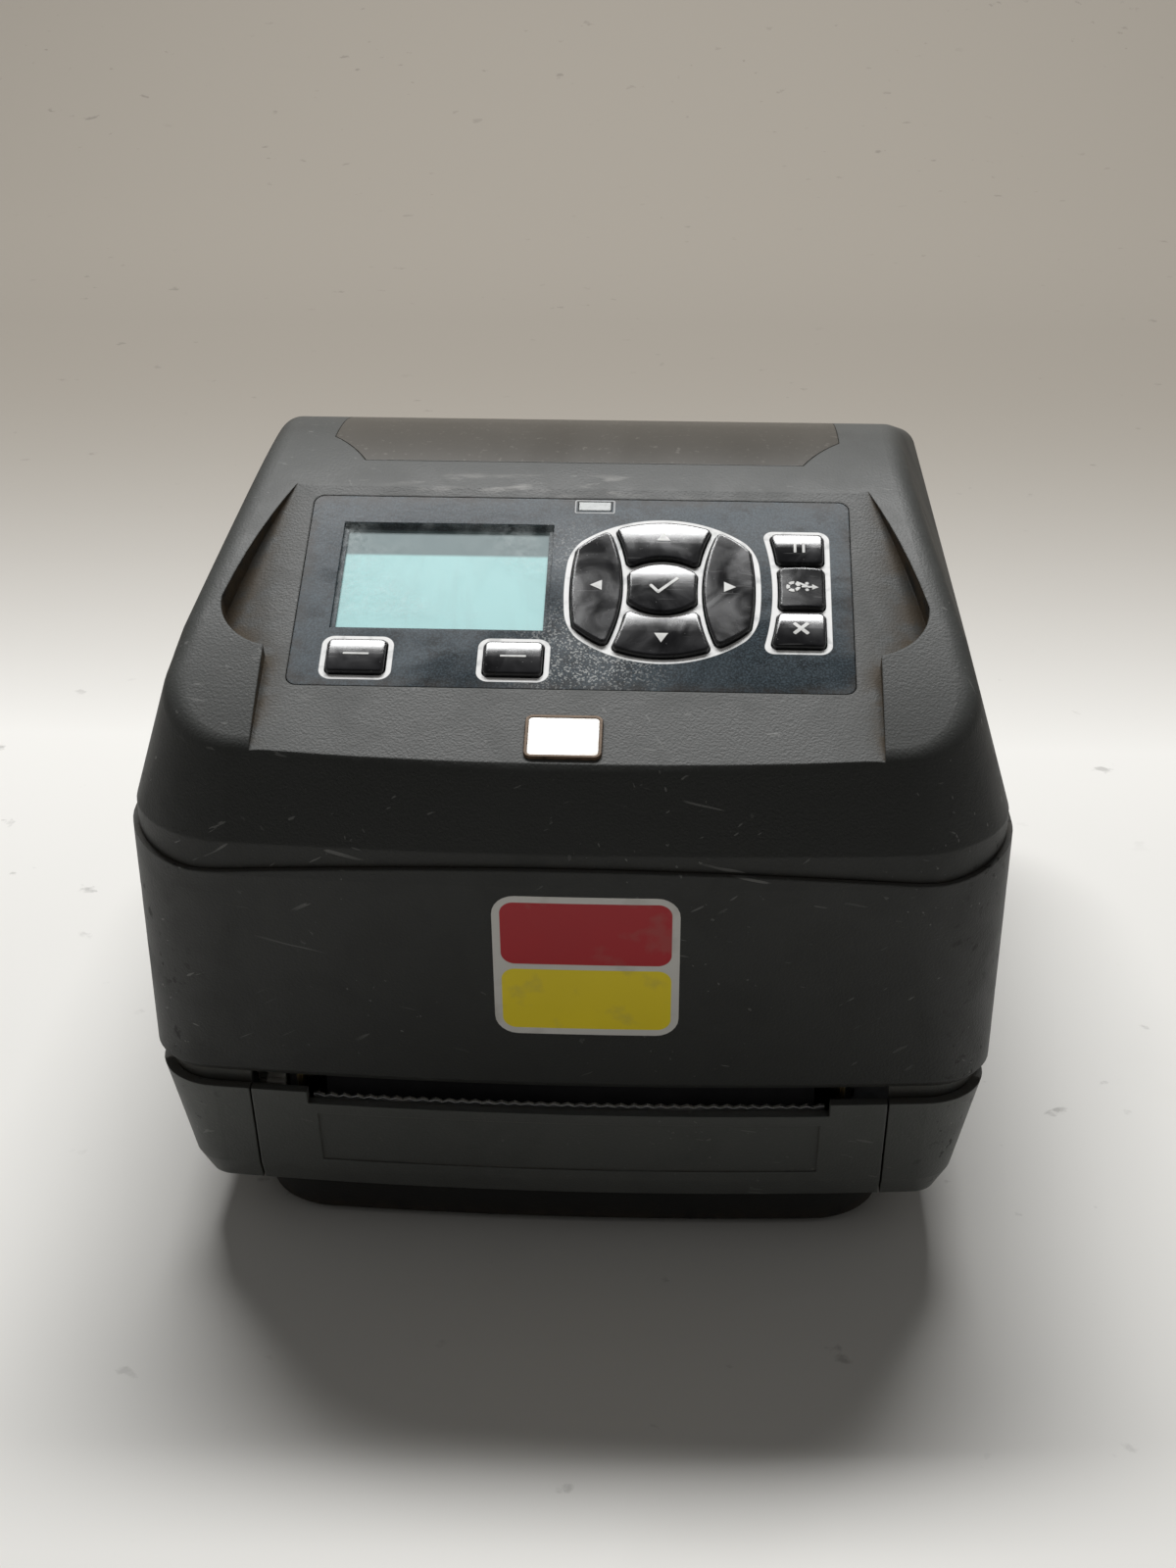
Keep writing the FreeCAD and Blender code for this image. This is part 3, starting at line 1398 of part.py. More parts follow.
def crowned(key, rim_z):
    """A key whose top rolls over about its long side. The cylinder's seam is turned underneath."""
    size = key.BoundBox
    narrow = min(size.XLength, size.YLength) / 2 + key_round
    radius = (narrow ** 2 + key_crown ** 2) / (2 * key_crown)
    length = size.XLength + size.YLength
    axis = Vec(1, 0, 0) if size.XLength > size.YLength else Vec(0, 1, 0)
    middle = Vec(size.Center.x, size.Center.y, rim_z + key_crown - radius)
    roll = Part.makeCylinder(radius, length, middle - axis * (length / 2), axis)
    roll.rotate(middle, axis, 180)
    return key.common(roll)


def finished_keys():
    """Keys with crowned tops and round rims, seated in the panel."""
    rim_z = key_rise - key_floor()
    keys = {}
    for name, key in key_forms(rim_z + key_crown).items():
        key = crowned(key, rim_z)
        rim = [e for e in key.Edges if e.BoundBox.ZMin > rim_z / 2]
        key = key.makeFillet(key_round, rim)
        key.translate(Vec(0, 0, key_floor()))
        keys[name] = on_panel(key)
    return keys


def panel_plan(inset, d0, d1):
    """Panel plate in its own plane."""
    plate = rounded_rect(-overlay_half + inset, overlay_half - inset, overlay_t0 + inset, overlay_t1 - inset,
                         overlay_corner, d1 - d0)
    plate.translate(Vec(0, 0, d0))
    return plate


def panel_plate(inset, d0, d1):
    return on_panel(panel_plan(inset, d0, d1))


def display_plan(inset, d0, d1):
    return box(display_x0 + inset, display_x1 - inset, display_t0 + inset, display_t1 - inset, d0, d1)


def light_plan(inset, d0, d1):
    half = light_width / 2 - inset
    tall = light_height / 2 - inset
    return box(light_x - half, light_x + half, light_t - tall, light_t + tall, d0, d1)


def control_overlay():
    plate = panel_plan(0.0, -overlay_thickness, 0)
    for hole in key_forms(2 * overlay_thickness, key_gap).values():
        hole.translate(Vec(0, 0, -1.5 * overlay_thickness))
        plate = plate.cut(hole)
    plate = plate.cut(display_plan(0.0, -lens_thickness, 1.0))
    plate = plate.cut(display_plan(display_frame / 2, -2 * overlay_thickness, 1.0))
    return on_panel(plate.cut(light_plan(0.0, -2 * overlay_thickness, 1.0)))


def display_lens():
    return on_panel(display_plan(panel_gap, -lens_thickness, 0.0))


def display_module():
    return on_panel(display_plan(-display_frame, -panel_well, -overlay_thickness))


def status_light():
    return on_panel(light_plan(panel_gap, -panel_well, 0.0))


def keypad_board():
    margin = panel_ledge - board_margin
    return panel_plate(margin, -panel_well - board_thickness, -panel_well)


# Ribbon carriage and print head

def ribbon_gear_z():
    mesh = pitch_radius[takeup_teeth] + pitch_radius[ribbon_teeth]
    return takeup_z - math.sqrt(mesh ** 2 - (takeup_y - ribbon_gear_y) ** 2)


def ribbon_plate_form(x0, x1):
    front_top = panel_point(carriage_t0, -carriage_drop)
    rear_top = panel_point(carriage_t1, -carriage_drop)
    step = carriage_bevel
    points = [(carriage_front_y + step, carriage_low_z), (carriage_front_y, carriage_low_z + step),
              (carriage_front_y, supply_z + step), front_top, rear_top, (carriage_rear_y, takeup_z + step),
              (carriage_rear_y, carriage_low_z + step), (carriage_rear_y - step, carriage_low_z)]
    return polygon_x(points, x0, x1)


def ribbon_frame():
    """Two side plates with top flanges, tied by a rear beam and a front rod."""
    x0 = ribbon_plate_x
    x1 = x0 + ribbon_plate
    plate = ribbon_plate_form(x0, x1)
    flange = panel_box(x0, x1 + carriage_flange, carriage_t0 + carriage_margin, carriage_t1 - carriage_margin,
                       -carriage_drop - ribbon_plate, -carriage_drop)
    plate = fused([plate, flange])
    holes = [(supply_y, supply_z, journal_radius), (takeup_y, takeup_z, journal_radius),
             (head_pivot_y, head_pivot_z, head_pivot_radius)]
    for y, z, radius in holes:
        plate = plate.cut(rod_x(radius + fit_gap, x0 - 1, x1 + 1, y, z))
    beam_y = carriage_rear_y - 2 * ribbon_plate
    beam_z = takeup_z + spindle_flange_radius
    beam = box(-x0, x0, beam_y, beam_y + ribbon_plate, takeup_z - spindle_flange_radius, beam_z)
    lip = box(-x0, x0, beam_y - 3 * ribbon_plate, beam_y, beam_z - ribbon_plate, beam_z)
    tie = rod_x(stud_radius, -x0, x0, carriage_front_y + carriage_margin, carriage_low_z + carriage_bevel)
    return fused([plate, mirror_x(plate), beam, lip, tie, ribbon_stud()])


def spindle(y, z, gear_end):
    """Ribbon spindle with end flanges, four core fins and a journal at each end."""
    inner = ribbon_plate_x - slide_gap
    outer = ribbon_plate_x + ribbon_plate + gear_gap
    left = gear_end if gear_end else outer
    core = rod_x(spindle_radius, -inner, inner, y, z)
    journal = rod_x(journal_radius, -left, outer, y, z)
    flange = rod_x(spindle_flange_radius, inner - spindle_flange, inner, y, z)
    pieces = [core, journal, flange, mirror_x(flange)]
    for i in range(4):
        fin = box(inner - spindle_flange - fin_length, inner - spindle_flange, -fin_half, fin_half,
                  0, spindle_radius + spindle_fin)
        fin.rotate(Vec(0, 0, 0), Vec(1, 0, 0), 90 * i)
        fin.translate(Vec(0, y, z))
        pieces += [fin, mirror_x(fin)]
    return fused(pieces)


def ribbon_gear_planes():
    near = -(ribbon_plate_x + ribbon_plate + gear_gap)
    return near - gear_width, near


def ribbon_supply():
    return spindle(supply_y, supply_z, 0.0)


def ribbon_takeup():
    return spindle(takeup_y, takeup_z, -ribbon_gear_planes()[0])


def takeup_gear():
    x0, x1 = ribbon_gear_planes()
    wheel = gear_x(drive_module, takeup_teeth, x0, x1, takeup_y, takeup_z,
                   angle_to(takeup_y, takeup_z, ribbon_gear_y, ribbon_gear_z()))
    return wheel.cut(rod_x(journal_radius, -case_width, 0, takeup_y, takeup_z))


def ribbon_gear():
    x0, x1 = ribbon_gear_planes()
    y, z = ribbon_gear_y, ribbon_gear_z()
    to_takeup = angle_to(y, z, takeup_y, takeup_z)
    wheel = gear_x(drive_module, ribbon_teeth, x0, x1, y, z, to_takeup + math.pi / ribbon_teeth)
    pitch = pitch_radius[ribbon_teeth]
    for i in range(spoke_holes):
        a = to_takeup + 2 * math.pi * i / spoke_holes
        hole_y = y + spoke_reach * pitch * math.cos(a)
        hole_z = z + spoke_reach * pitch * math.sin(a)
        wheel = wheel.cut(rod_x(spoke_hole * pitch, x0, x1, hole_y, hole_z))
    return wheel.cut(rod_x(stud_radius + fit_gap, -case_width, 0, y, z))


def ribbon_stud():
    x0, x1 = ribbon_gear_planes()
    y, z = ribbon_gear_y, ribbon_gear_z()
    stud = rod_x(stud_radius, x0 - slide_gap, -ribbon_plate_x - ribbon_plate, y, z)
    seat = rod_x(2 * stud_radius, x1 + slide_gap, -ribbon_plate_x - ribbon_plate, y, z)
    return fused([stud, seat])


def ribbon_clip():
    end = ribbon_gear_planes()[0] - slide_gap
    return rod_x(2 * stud_radius, end - clip_thickness, end, ribbon_gear_y, ribbon_gear_z())


def head_floor():
    return platen_z + platen_radius + head_gap


def print_head():
    """Ceramic head block with a heat sink above it."""
    z = head_floor()
    y0 = platen_y - head_depth / 3
    top = z + head_block
    block = box(-head_half, head_half, y0, y0 + head_depth, z + element_height, top)
    half = head_half - element_height
    element = box(-half, half, platen_y - element_half, platen_y + element_half, z, z + element_height)
    fins = []
    for i in range(heatsink_fins):
        y = y0 + head_block + fin_pitch * i
        fins.append(box(-head_half, head_half, y, y + fin_thickness, top, top + heatsink_height - bracket_thickness))
    return fused([block, element] + fins)


def head_bracket():
    z = head_floor() + head_block + heatsink_height - bracket_thickness
    y0 = platen_y - head_depth / 3
    top = box(-head_half, head_half, y0 + element_half, head_pivot_y - head_pivot_radius, z, z + bracket_thickness)
    eye = rod_x(2 * head_pivot_radius, head_half - head_ear, head_half, head_pivot_y, head_pivot_z)
    root = head_pivot_y - head_arm
    arm = polygon_x([(root, z), (head_pivot_y, z), (head_pivot_y, head_pivot_z), (root, z + 2 * bracket_thickness)],
                    head_half - head_ear, head_half)
    ear = fused([eye, arm])
    bracket = fused([top, ear, mirror_x(ear)])
    return bracket.cut(rod_x(head_pivot_radius, -case_width, case_width, head_pivot_y, head_pivot_z))


def head_pivot():
    end = ribbon_plate_x + ribbon_plate + gear_gap / 2
    return rod_x(head_pivot_radius, -end, end, head_pivot_y, head_pivot_z)


# Latches

def latch(side):
    x0 = latch_x
    x1 = latch_x + latch_width
    eye = rod_x(latch_eye_radius, x0, x1, latch_y, latch_z)
    arm_rear = latch_y + latch_eye_radius - wall
    arm = box(x0, x1, latch_y - latch_eye_radius, arm_rear, latch_hook_z, latch_z)
    nose = box(x0, x1, arm_rear, latch_y + latch_eye_radius, latch_hook_z, latch_hook_z + wall)
    low = lip_z + wall
    grip_form = box(x0, case_width, latch_y - latch_grip_length / 2, latch_y + latch_grip_length / 2,
                    low, low + latch_grip_height)
    grip = grip_form.common(shell_form(slide_gap))
    web = box(x0, case_width, latch_y - latch_eye_radius, arm_rear, low, low + latch_grip_height)
    grip = grip.cut(grip_form.common(shell_form(2 * wall)).cut(web))
    lever = fused([eye, arm, nose, grip])
    lever = lever.cut(rod_x(latch_pin_radius + fit_gap, 0, case_width, latch_y, latch_z))
    return lever if side > 0 else mirror_x(lever)


# Export

def all_parts():
    parts = {
        "base_case": base_case(),
        "bottom_pan": bottom_pan(),
        "rubber_feet": rubber_feet(),
        "board_screws": board_screws(),
        "front_bezel": front_bezel(),
        "tear_bar": tear_bar(),
        "media_deck": media_deck(),
        "side_frame_left": side_frame(-1),
        "side_frame_right": side_frame(1),
        "platen_bushings": platen_bushings(),
        "platen_shaft": platen_shaft(),
        "platen_sleeve": platen_sleeve(),
        "platen_gear": platen_gear(),
        "reduction_gear": reduction_gear(),
        "retaining_clips": Part.makeCompound([gear_clip(), pinion_clip()]),
        "motor_pinion": motor_pinion(),
        "drive_motor": drive_motor(),
        "roll_holder_left": roll_holder(-1),
        "roll_holder_right": roll_holder(1),
        "roll_hub_left": roll_hub(-1),
        "roll_hub_right": roll_hub(1),
        "holder_pinion": holder_pinion(),
        "media_sensor": media_sensor(),
        "main_board": main_board(),
        "port_board": port_board(),
        "power_inlet": power_inlet(),
        "data_ports": Part.makeCompound([usb_port(), serial_port(), network_port()]),
        "switch_frame": switch_frame(),
        "power_switch": power_switch(),
        "hinge_brackets": hinge_brackets(),
        "hinge_pins": hinge_pins(),
        "upper_shell": upper_shell(),
        "top_cover": top_cover(),
        "media_window": media_window(),
        "control_overlay": control_overlay(),
        "display_lens": display_lens(),
        "display_module": display_module(),
        "status_light": status_light(),
        "keypad_board": keypad_board(),
        "ribbon_frame": ribbon_frame(),
        "ribbon_supply": ribbon_supply(),
        "ribbon_takeup": ribbon_takeup(),
        "takeup_gear": takeup_gear(),
        "ribbon_gear": ribbon_gear(),
        "ribbon_clip": ribbon_clip(),
        "print_head": print_head(),
        "head_bracket": head_bracket(),
        "head_pivot": head_pivot(),
        "latch_left": latch(-1),
        "latch_right": latch(1),
    }
    return parts


def main():
    os.makedirs("parts", exist_ok=True)
    parts = all_parts()
    parts.update(finished_keys())
    for name, shape in parts.items():
        shape.exportStep("parts/" + name + ".step")


main()
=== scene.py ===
"""Looks of a desktop label printer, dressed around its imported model.

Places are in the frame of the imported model, in metres except where a comment
says millimetres. The sidebar panel lists the steps that main() runs in order.
"""

import math

import bmesh
import bpy
from mathutils import Matrix, Vector
from mathutils.bvhtree import BVHTree


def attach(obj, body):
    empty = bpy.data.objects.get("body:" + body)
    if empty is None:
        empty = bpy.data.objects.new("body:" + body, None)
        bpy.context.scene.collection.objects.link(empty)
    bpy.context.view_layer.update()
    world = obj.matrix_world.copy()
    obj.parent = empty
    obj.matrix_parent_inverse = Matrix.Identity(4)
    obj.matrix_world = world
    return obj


bl_info = {
    "name": "Label printer looks",
    "version": (1, 0, 0),
    "blender": (4, 5, 0),
    "location": "3D View > Sidebar > Printer",
    "description": "Finishes, key symbols, badge and studio of a desktop label printer",
    "category": "Object",
}

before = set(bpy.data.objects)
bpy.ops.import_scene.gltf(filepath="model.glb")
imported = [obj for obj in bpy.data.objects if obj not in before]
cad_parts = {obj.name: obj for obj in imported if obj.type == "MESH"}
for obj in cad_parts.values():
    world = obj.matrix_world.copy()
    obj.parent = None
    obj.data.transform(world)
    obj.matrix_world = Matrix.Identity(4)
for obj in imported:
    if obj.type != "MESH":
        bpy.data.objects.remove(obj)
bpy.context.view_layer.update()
MM = 0.001
METRE = 1000.0  # in millimetres

# The sloped control panel: x across, t up the slope, d out of its face.
PANEL_TILT = math.radians(24.8)
PANEL_FOOT = Vector((0.0, -120.1 * MM, 127.9 * MM))
PANEL = Matrix.Translation(PANEL_FOOT) @ Matrix.Rotation(PANEL_TILT, 4, "X")
PANEL_UP = PANEL.to_3x3().col[2].normalized()

# Middles of the keys on the panel, in millimetres
NAVIGATOR_X, NAVIGATOR_T = 19.2, 50.5
SOFT_KEYS_X, SOFT_KEYS_T = (-46.3, -12.4), 29.1
COLUMN_X, COLUMN_T = 49.4, 50.65

# Areas on the panel, in millimetres: left, right, low and high edge
COLUMN = (40.0, 54.7, 33.7, 67.6)
DISPLAY = (-53.1, -5.6, 37.8, 70.2)
FILM = (-60.0, 60.0, 21.9, 77.8)
STATUS = (-1.0, 7.8, 74.3, 78.2)
SOFT_KEY_HALF, SOFT_KEY_RISE = 6.3, (24.4, 33.8)
REFLECTION_BAND_T = 61.5
RING_WIDTH = 1.5

SYMBOL_HEIGHT = 0.10 * MM
SYMBOL_SLICE = 0.55 * MM
BADGE_CORNER = 1.6 * MM
STICKER_CORNER = 5.0 * MM
STICKER_CUTS = 5  # on each side of the middle

# The rear, in millimetres: faces and middles of the sockets, and the rocker switch
SOCKET_Y = 122.3
USB_X, USB_Z = 14.0, 23.0
SERIAL_X, SERIAL_Z = -16.0, 23.75
NETWORK_X, NETWORK_Z = -48.0, 24.25
SWITCH_X, SWITCH_Z = 60.0, 28.0

# The studio, in metres and degrees
SWEEP_HALF, SWEEP_FRONT, SWEEP_BACK = 60.0, -60.0, 1.0
COVE_RADIUS, WALL_HEIGHT = 1.0, 1.6
# The floor's fade to the back is painted shade; the wall's fade is painted light.
FLOOR_FADE, WALL_FADE = (0.44, 0.56), (1.1, 0.8)  # middle and length of a change of tone
LAMP_SIZE = (1.3, 0.32)
LAMP_PLACE, LAMP_AIM = Vector((-0.08, 0.79, 1.65)), Vector((0.0, -0.02, 0.08))
FILL_TINT = (1.0, 0.985, 0.96)
CAMERA_PLACE, CAMERA_TURN = (0.02358, -0.54252, 0.33476), (63.5, 0.0, 2.54)
CAMERA_LENS, CAMERA_SENSOR = 52.31, 36.0  # in millimetres
CAMERA_CLIP = (0.01, 200.0)


class Wire:
    """A value in a finish's node tree; arithmetic on it adds Math nodes."""

    def __init__(self, finish, socket):
        self.finish = finish
        self.socket = socket

    def __add__(self, other):
        return self.finish.math("ADD", self, other)

    def __radd__(self, other):
        return self.finish.math("ADD", other, self)

    def __sub__(self, other):
        return self.finish.math("SUBTRACT", self, other)

    def __rsub__(self, other):
        return self.finish.math("SUBTRACT", other, self)

    def __mul__(self, other):
        return self.finish.math("MULTIPLY", self, other)

    def __rmul__(self, other):
        return self.finish.math("MULTIPLY", other, self)

    def __truediv__(self, other):
        return self.finish.math("DIVIDE", self, other)

    def __rtruediv__(self, other):
        return self.finish.math("DIVIDE", other, self)

    def __abs__(self):
        return self.finish.math("ABSOLUTE", self)

    def least(self, other):
        return self.finish.math("MINIMUM", self, other)

    def most(self, other):
        return self.finish.math("MAXIMUM", self, other)

    def held(self):
        """The value kept between 0 and 1."""
        return self.least(1.0).most(0.0)

    def above(self, edge, soft):
        """0 below the edge and 1 above it, with a soft step."""
        return ((self - (edge - 0.5 * soft)) / soft).held()

    def below(self, edge, soft):
        return 1.0 - self.above(edge, soft)


class Nodes:
    """Makes and links the nodes of one tree."""

    def __init__(self, tree):
        self.tree = tree

    def node(self, kind, settings=None, sockets=None, output=0):
        """A new node with its settings, then its socket values or links."""
        made = self.tree.nodes.new(kind)
        for key, value in (settings or {}).items():
            setattr(made, key, value)
        self.feed(made, sockets or {})
        return Wire(self, made.outputs[output])

    def feed(self, node, sockets):
        for key, value in sockets.items():
            socket = node.inputs[key]
            if isinstance(value, Wire):
                self.tree.links.new(value.socket, socket)
            elif hasattr(value, "__len__") and len(value) == 3 and socket.type == "RGBA":
                socket.default_value = (*value, 1.0)
            else:
                socket.default_value = value

    def math(self, operation, *values):
        return self.node("ShaderNodeMath", {"operation": operation}, dict(enumerate(values)))

    def vector(self, operation, *values, output=0):
        return self.node("ShaderNodeVectorMath", {"operation": operation},
                         dict(enumerate(values)), output)

    def parts(self, place):
        separate = self.node("ShaderNodeSeparateXYZ", None, {"Vector": place})
        outputs = separate.socket.node.outputs
        return [Wire(self, outputs[axis]) for axis in "XYZ"]

    def mix(self, share, a, b):
        """Colour a where share is 0, colour b where it is 1."""
        return self.node("ShaderNodeMix", {"data_type": "RGBA"},
                         {"Factor": share, 6: a, 7: b}, 2)


class Finish(Nodes):
    """One material, from its Object coordinates to its Principled shader."""

    def __init__(self, name):
        self.material = bpy.data.materials.new(name)
        self.material.use_nodes = True
        super().__init__(self.material.node_tree)
        self.shader = self.tree.nodes["Principled BSDF"]
        self.place = self.node("ShaderNodeTexCoord", output="Object")
        self.x, self.y, self.z = self.parts(self.place)

    def noise(self, scale, detail=2.0, place=None, distortion=0.0):
        return self.node("ShaderNodeTexNoise", None, {
            "Vector": place or self.place, "Scale": scale,
            "Detail": detail, "Distortion": distortion})

    def cells(self, scale, feature="F1", output="Distance"):
        return self.node("ShaderNodeTexVoronoi", {"feature": feature},
                         {"Vector": self.place, "Scale": scale}, output)

    def stretched(self, x, y, z):
        """The place with each axis scaled, for streaks and brush marks."""
        return self.vector("MULTIPLY", self.place, (x, y, z))

    def leaning(self, angles):
        """The place turned and drawn out along one line, for scratches."""
        turned = self.node("ShaderNodeVectorRotate", {"rotation_type": "EULER_XYZ"},
                           {"Vector": self.place, "Rotation": angles})
        return self.vector("MULTIPLY", turned, (1.0, 1.0, 0.06))

    def rounded(self, radius):
        """A normal that rounds sharp edges by this radius."""
        return self.node("ShaderNodeBevel", {"samples": 4}, {"Radius": radius})

    def edges(self, normal):
        """1 along outer and inner edges, 0 on flat and gently curved faces."""
        face = self.node("ShaderNodeNewGeometry", output="Normal")
        dot = self.vector("DOT_PRODUCT", normal, face, output=1)
        return dot.below(0.93, 0.10)

    def crease(self, distance):
        """1 deep in corners and gaps, 0 in the open."""
        return 1.0 - self.node("ShaderNodeAmbientOcclusion", {"samples": 4},
                               {"Distance": distance}, "AO")

    def bump(self, height, distance, normal=None):
        sockets = {"Height": height, "Distance": distance, "Strength": 1.0}
        if normal:
            sockets["Normal"] = normal
        return self.node("ShaderNodeBump", None, sockets)

    def end(self, sockets):
        """Sets the Principled shader's sockets and returns the material."""
        self.feed(self.shader, sockets)
        return self.material


def shade(colour, factor):
    return tuple(min(1.0, factor * c) for c in colour)


# Plastics

# Tone of up-facing faces: part settled dust, part painted sheen of the light from above.
DUST_AND_SHEEN_TONE = (0.118, 0.122, 0.117)


def moulding(name, colour, roughness, grain=0.55 * MM, depth=0.085 * MM, edge=0.6 * MM,
             dust=0.5, wear=0.35, dust_and_sheen_share=0.0, marks=None):
    """Textured moulding: fine grain, uneven tone, dusty corners, rubbed edges, and up-facing faces
    lightened by dust and a painted sheen.
    """
    f = Finish(name)
    rim = f.rounded(edge)
    grain_height = f.noise(1.0 / grain, 1.0)
    cloud = f.noise(16.0, 3.0)
    blotch = f.noise(75.0, 4.0, distortion=0.6)
    tone = f.mix(cloud.above(0.5, 0.5), shade(colour, 0.90), shade(colour, 1.08))
    tone = f.mix(blotch.above(0.62, 0.30) * 0.35, tone, shade(colour, 0.72))
    tone = f.mix(grain_height.above(0.62, 0.2) * 0.22, tone, shade(colour, 1.35))
    rubbed = f.edges(rim) * blotch.above(0.42, 0.3) * wear
    tone = f.mix(rubbed, tone, shade(colour, 2.6))
    facing = f.parts(f.node("ShaderNodeTexCoord", output="Normal"))[2]
    # Up-facing faces lighten towards this tone: part dust, part painted sheen.
    film = facing.above(0.62, 0.75) * (0.75 + 0.5 * (cloud - 0.5) + 0.3 * (blotch - 0.5))
    tone = f.mix(film * dust_and_sheen_share, tone, DUST_AND_SHEEN_TONE)
    settle = f.crease(9.0 * MM).above(0.42, 0.5) * f.noise(260.0, 4.0).above(0.42, 0.3)
    tone = f.mix(settle * dust, tone, (0.070, 0.052, 0.034))
    rough = roughness + 0.14 * (cloud - 0.5) + 0.10 * blotch.above(0.6, 0.3)
    rough = rough + settle * 0.3 * dust - rubbed * 0.12
    if marks:
        tone, rough = marks(f, tone, rough)
    return f.end({"Base Color": tone, "Roughness": rough.held(), "Specular IOR Level": 0.30,
                  "Normal": f.bump(grain_height, depth, rim)})


# Scratches on the mouldings: which way each set leans, in radians, and the scale of its patches
SCRATCHES = (((0.75, 0.45, 0.2), 24.0), ((-0.35, -1.0, 0.6), 29.0), ((0.1, 1.35, -0.4), 21.0))


def case_marks(f, tone, rough):
    """Dark nicks at the front corners of the case and fine scratches."""
    corner = (abs(f.x).above(84.0 * MM, 14.0 * MM)
              * f.y.below(-96.0 * MM, 24.0 * MM) * f.z.below(126.0 * MM, 20.0 * MM))
    nicks = f.noise(420.0, 5.0).above(0.63, 0.03) * f.noise(60.0).above(0.50, 0.12)
    tone = f.mix(nicks * corner, tone, (0.012, 0.012, 0.011))
    for angles, where in SCRATCHES:
        scratch = f.noise(700.0, 2.0, f.leaning(angles)).above(0.72, 0.02)
        tone = f.mix(scratch * f.noise(where).above(0.53, 0.1) * 0.36, tone, (0.24, 0.24, 0.23))
    return tone, rough + nicks * corner * 0.2


def lid_marks(f, tone, rough):
    """A painted highlight in pale streaks on the ridge behind the panel, brown grime in the
    scoops.
    """
    tone, rough = case_marks(f, tone, rough)
    # The pale streaks along the crest are a painted highlight.
    crest_highlight_band = (f.y + 44.0 * MM).most(-44.0 * MM - f.y).below(3.0 * MM, 4.0 * MM)
    rub = (crest_highlight_band * abs(f.x + 2.0 * MM).below(34.0 * MM, 24.0 * MM)
           * f.noise(330.0, 4.0, f.stretched(0.3, 1.0, 1.0)).above(0.6, 0.1))
    tone = f.mix(rub * 0.55, tone, (0.36, 0.35, 0.33))
    side = abs(f.x).above(60.0 * MM, 6.0 * MM) * f.z.above(126.0 * MM, 8.0 * MM)
    grime = side * f.crease(14.0 * MM).above(0.22, 0.30) * f.noise(190.0, 5.0).above(0.47, 0.2)
    tone = f.mix(grime * 0.8, tone, (0.085, 0.060, 0.034))
    return tone, rough + grime * 0.2


def rubber(name, colour, pitch):
    """Matt rubber with a ground, slightly dusty skin."""
    f = Finish(name)
    skin = f.noise(1.0 / pitch, 3.0)
    tone = f.mix(f.noise(90.0, 3.0).above(0.5, 0.4), shade(colour, 0.8), shade(colour, 1.3))
    tone = f.mix(f.crease(5.0 * MM).above(0.4, 0.4) * 0.4, tone, (0.11, 0.095, 0.075))
    return f.end({"Base Color": tone, "Roughness": 0.72 + 0.2 * skin, "Specular IOR Level": 0.3,
                  "Normal": f.bump(skin, 0.04 * MM, f.rounded(0.4 * MM))})


def acetal(name, colour):
    """Natural acetal gear: waxy, a little greasy between the teeth."""
    f = Finish(name)
    cloud = f.noise(120.0, 3.0)
    tone = f.mix(cloud, shade(colour, 0.93), colour)
    grease = f.crease(2.5 * MM).above(0.35, 0.4) * f.noise(420.0, 3.0).above(0.4, 0.3)
    tone = f.mix(grease * 0.6, tone, (0.16, 0.13, 0.09))
    return f.end({"Base Color": tone, "Roughness": 0.42 - 0.18 * grease + 0.1 * cloud,
                  "Normal": f.rounded(0.18 * MM)})


# Metals

def metal(name, colour, roughness, grain=(1.0, 1.0, 1.0), spangle=0.0, stain=(0.2, 0.15, 0.1)):
    """Bare metal with drawn grain or zinc spangle and a little staining."""
    f = Finish(name)
    brush = f.noise(2600.0, 2.0, f.stretched(*grain))
    flake = f.cells(260.0, output="Color")
    flake_tone = f.parts(flake)[0]
    tone = f.mix(flake_tone * spangle, colour, shade(colour, 1.35))
    tone = f.mix(brush * 0.25, tone, shade(colour, 0.7))
    spots = f.noise(70.0, 5.0).above(0.62, 0.12) * 0.35
    tone = f.mix(spots, tone, stain)
    rough = roughness + 0.16 * (brush - 0.5) + 0.12 * spangle * flake_tone + 0.25 * spots
    return f.end({"Base Color": tone, "Metallic": 1.0 - 0.6 * spots, "Roughness": rough.held(),
                  "Normal": f.bump(brush, 0.006 * MM, f.rounded(0.25 * MM))})


# Boards

def laminate(name, colour):
    """Circuit board: solder mask with tracks and pads."""
    f = Finish(name)
    tracks = f.cells(230.0, "DISTANCE_TO_EDGE").below(0.035, 0.03)
    pads = f.cells(520.0).below(0.16, 0.04) * f.noise(40.0).above(0.5, 0.05)
    tone = f.mix(tracks * 0.6, colour, shade(colour, 1.8))
    tone = f.mix(pads, tone, (0.52, 0.5, 0.44))
    return f.end({"Base Color": tone, "Metallic": 0.8 * pads,
                  "Roughness": 0.34 + 0.1 * tracks,
                  "Normal": f.bump(tracks + pads, 0.04 * MM)})


# Control panel

def panel_places(f):
    """x across and t up the slope, both in millimetres, on the control panel."""
    back, up = f.y - PANEL_FOOT.y, f.z - PANEL_FOOT.z
    rise = back * math.cos(PANEL_TILT) + up * math.sin(PANEL_TILT)
    return f.x * METRE, rise * METRE


def distance(f, x, t, x0, t0):
    """Distance in the panel from the point (x0, t0)."""
    across, up = x - x0, t - t0
    return f.math("SQRT", across * across + up * up)


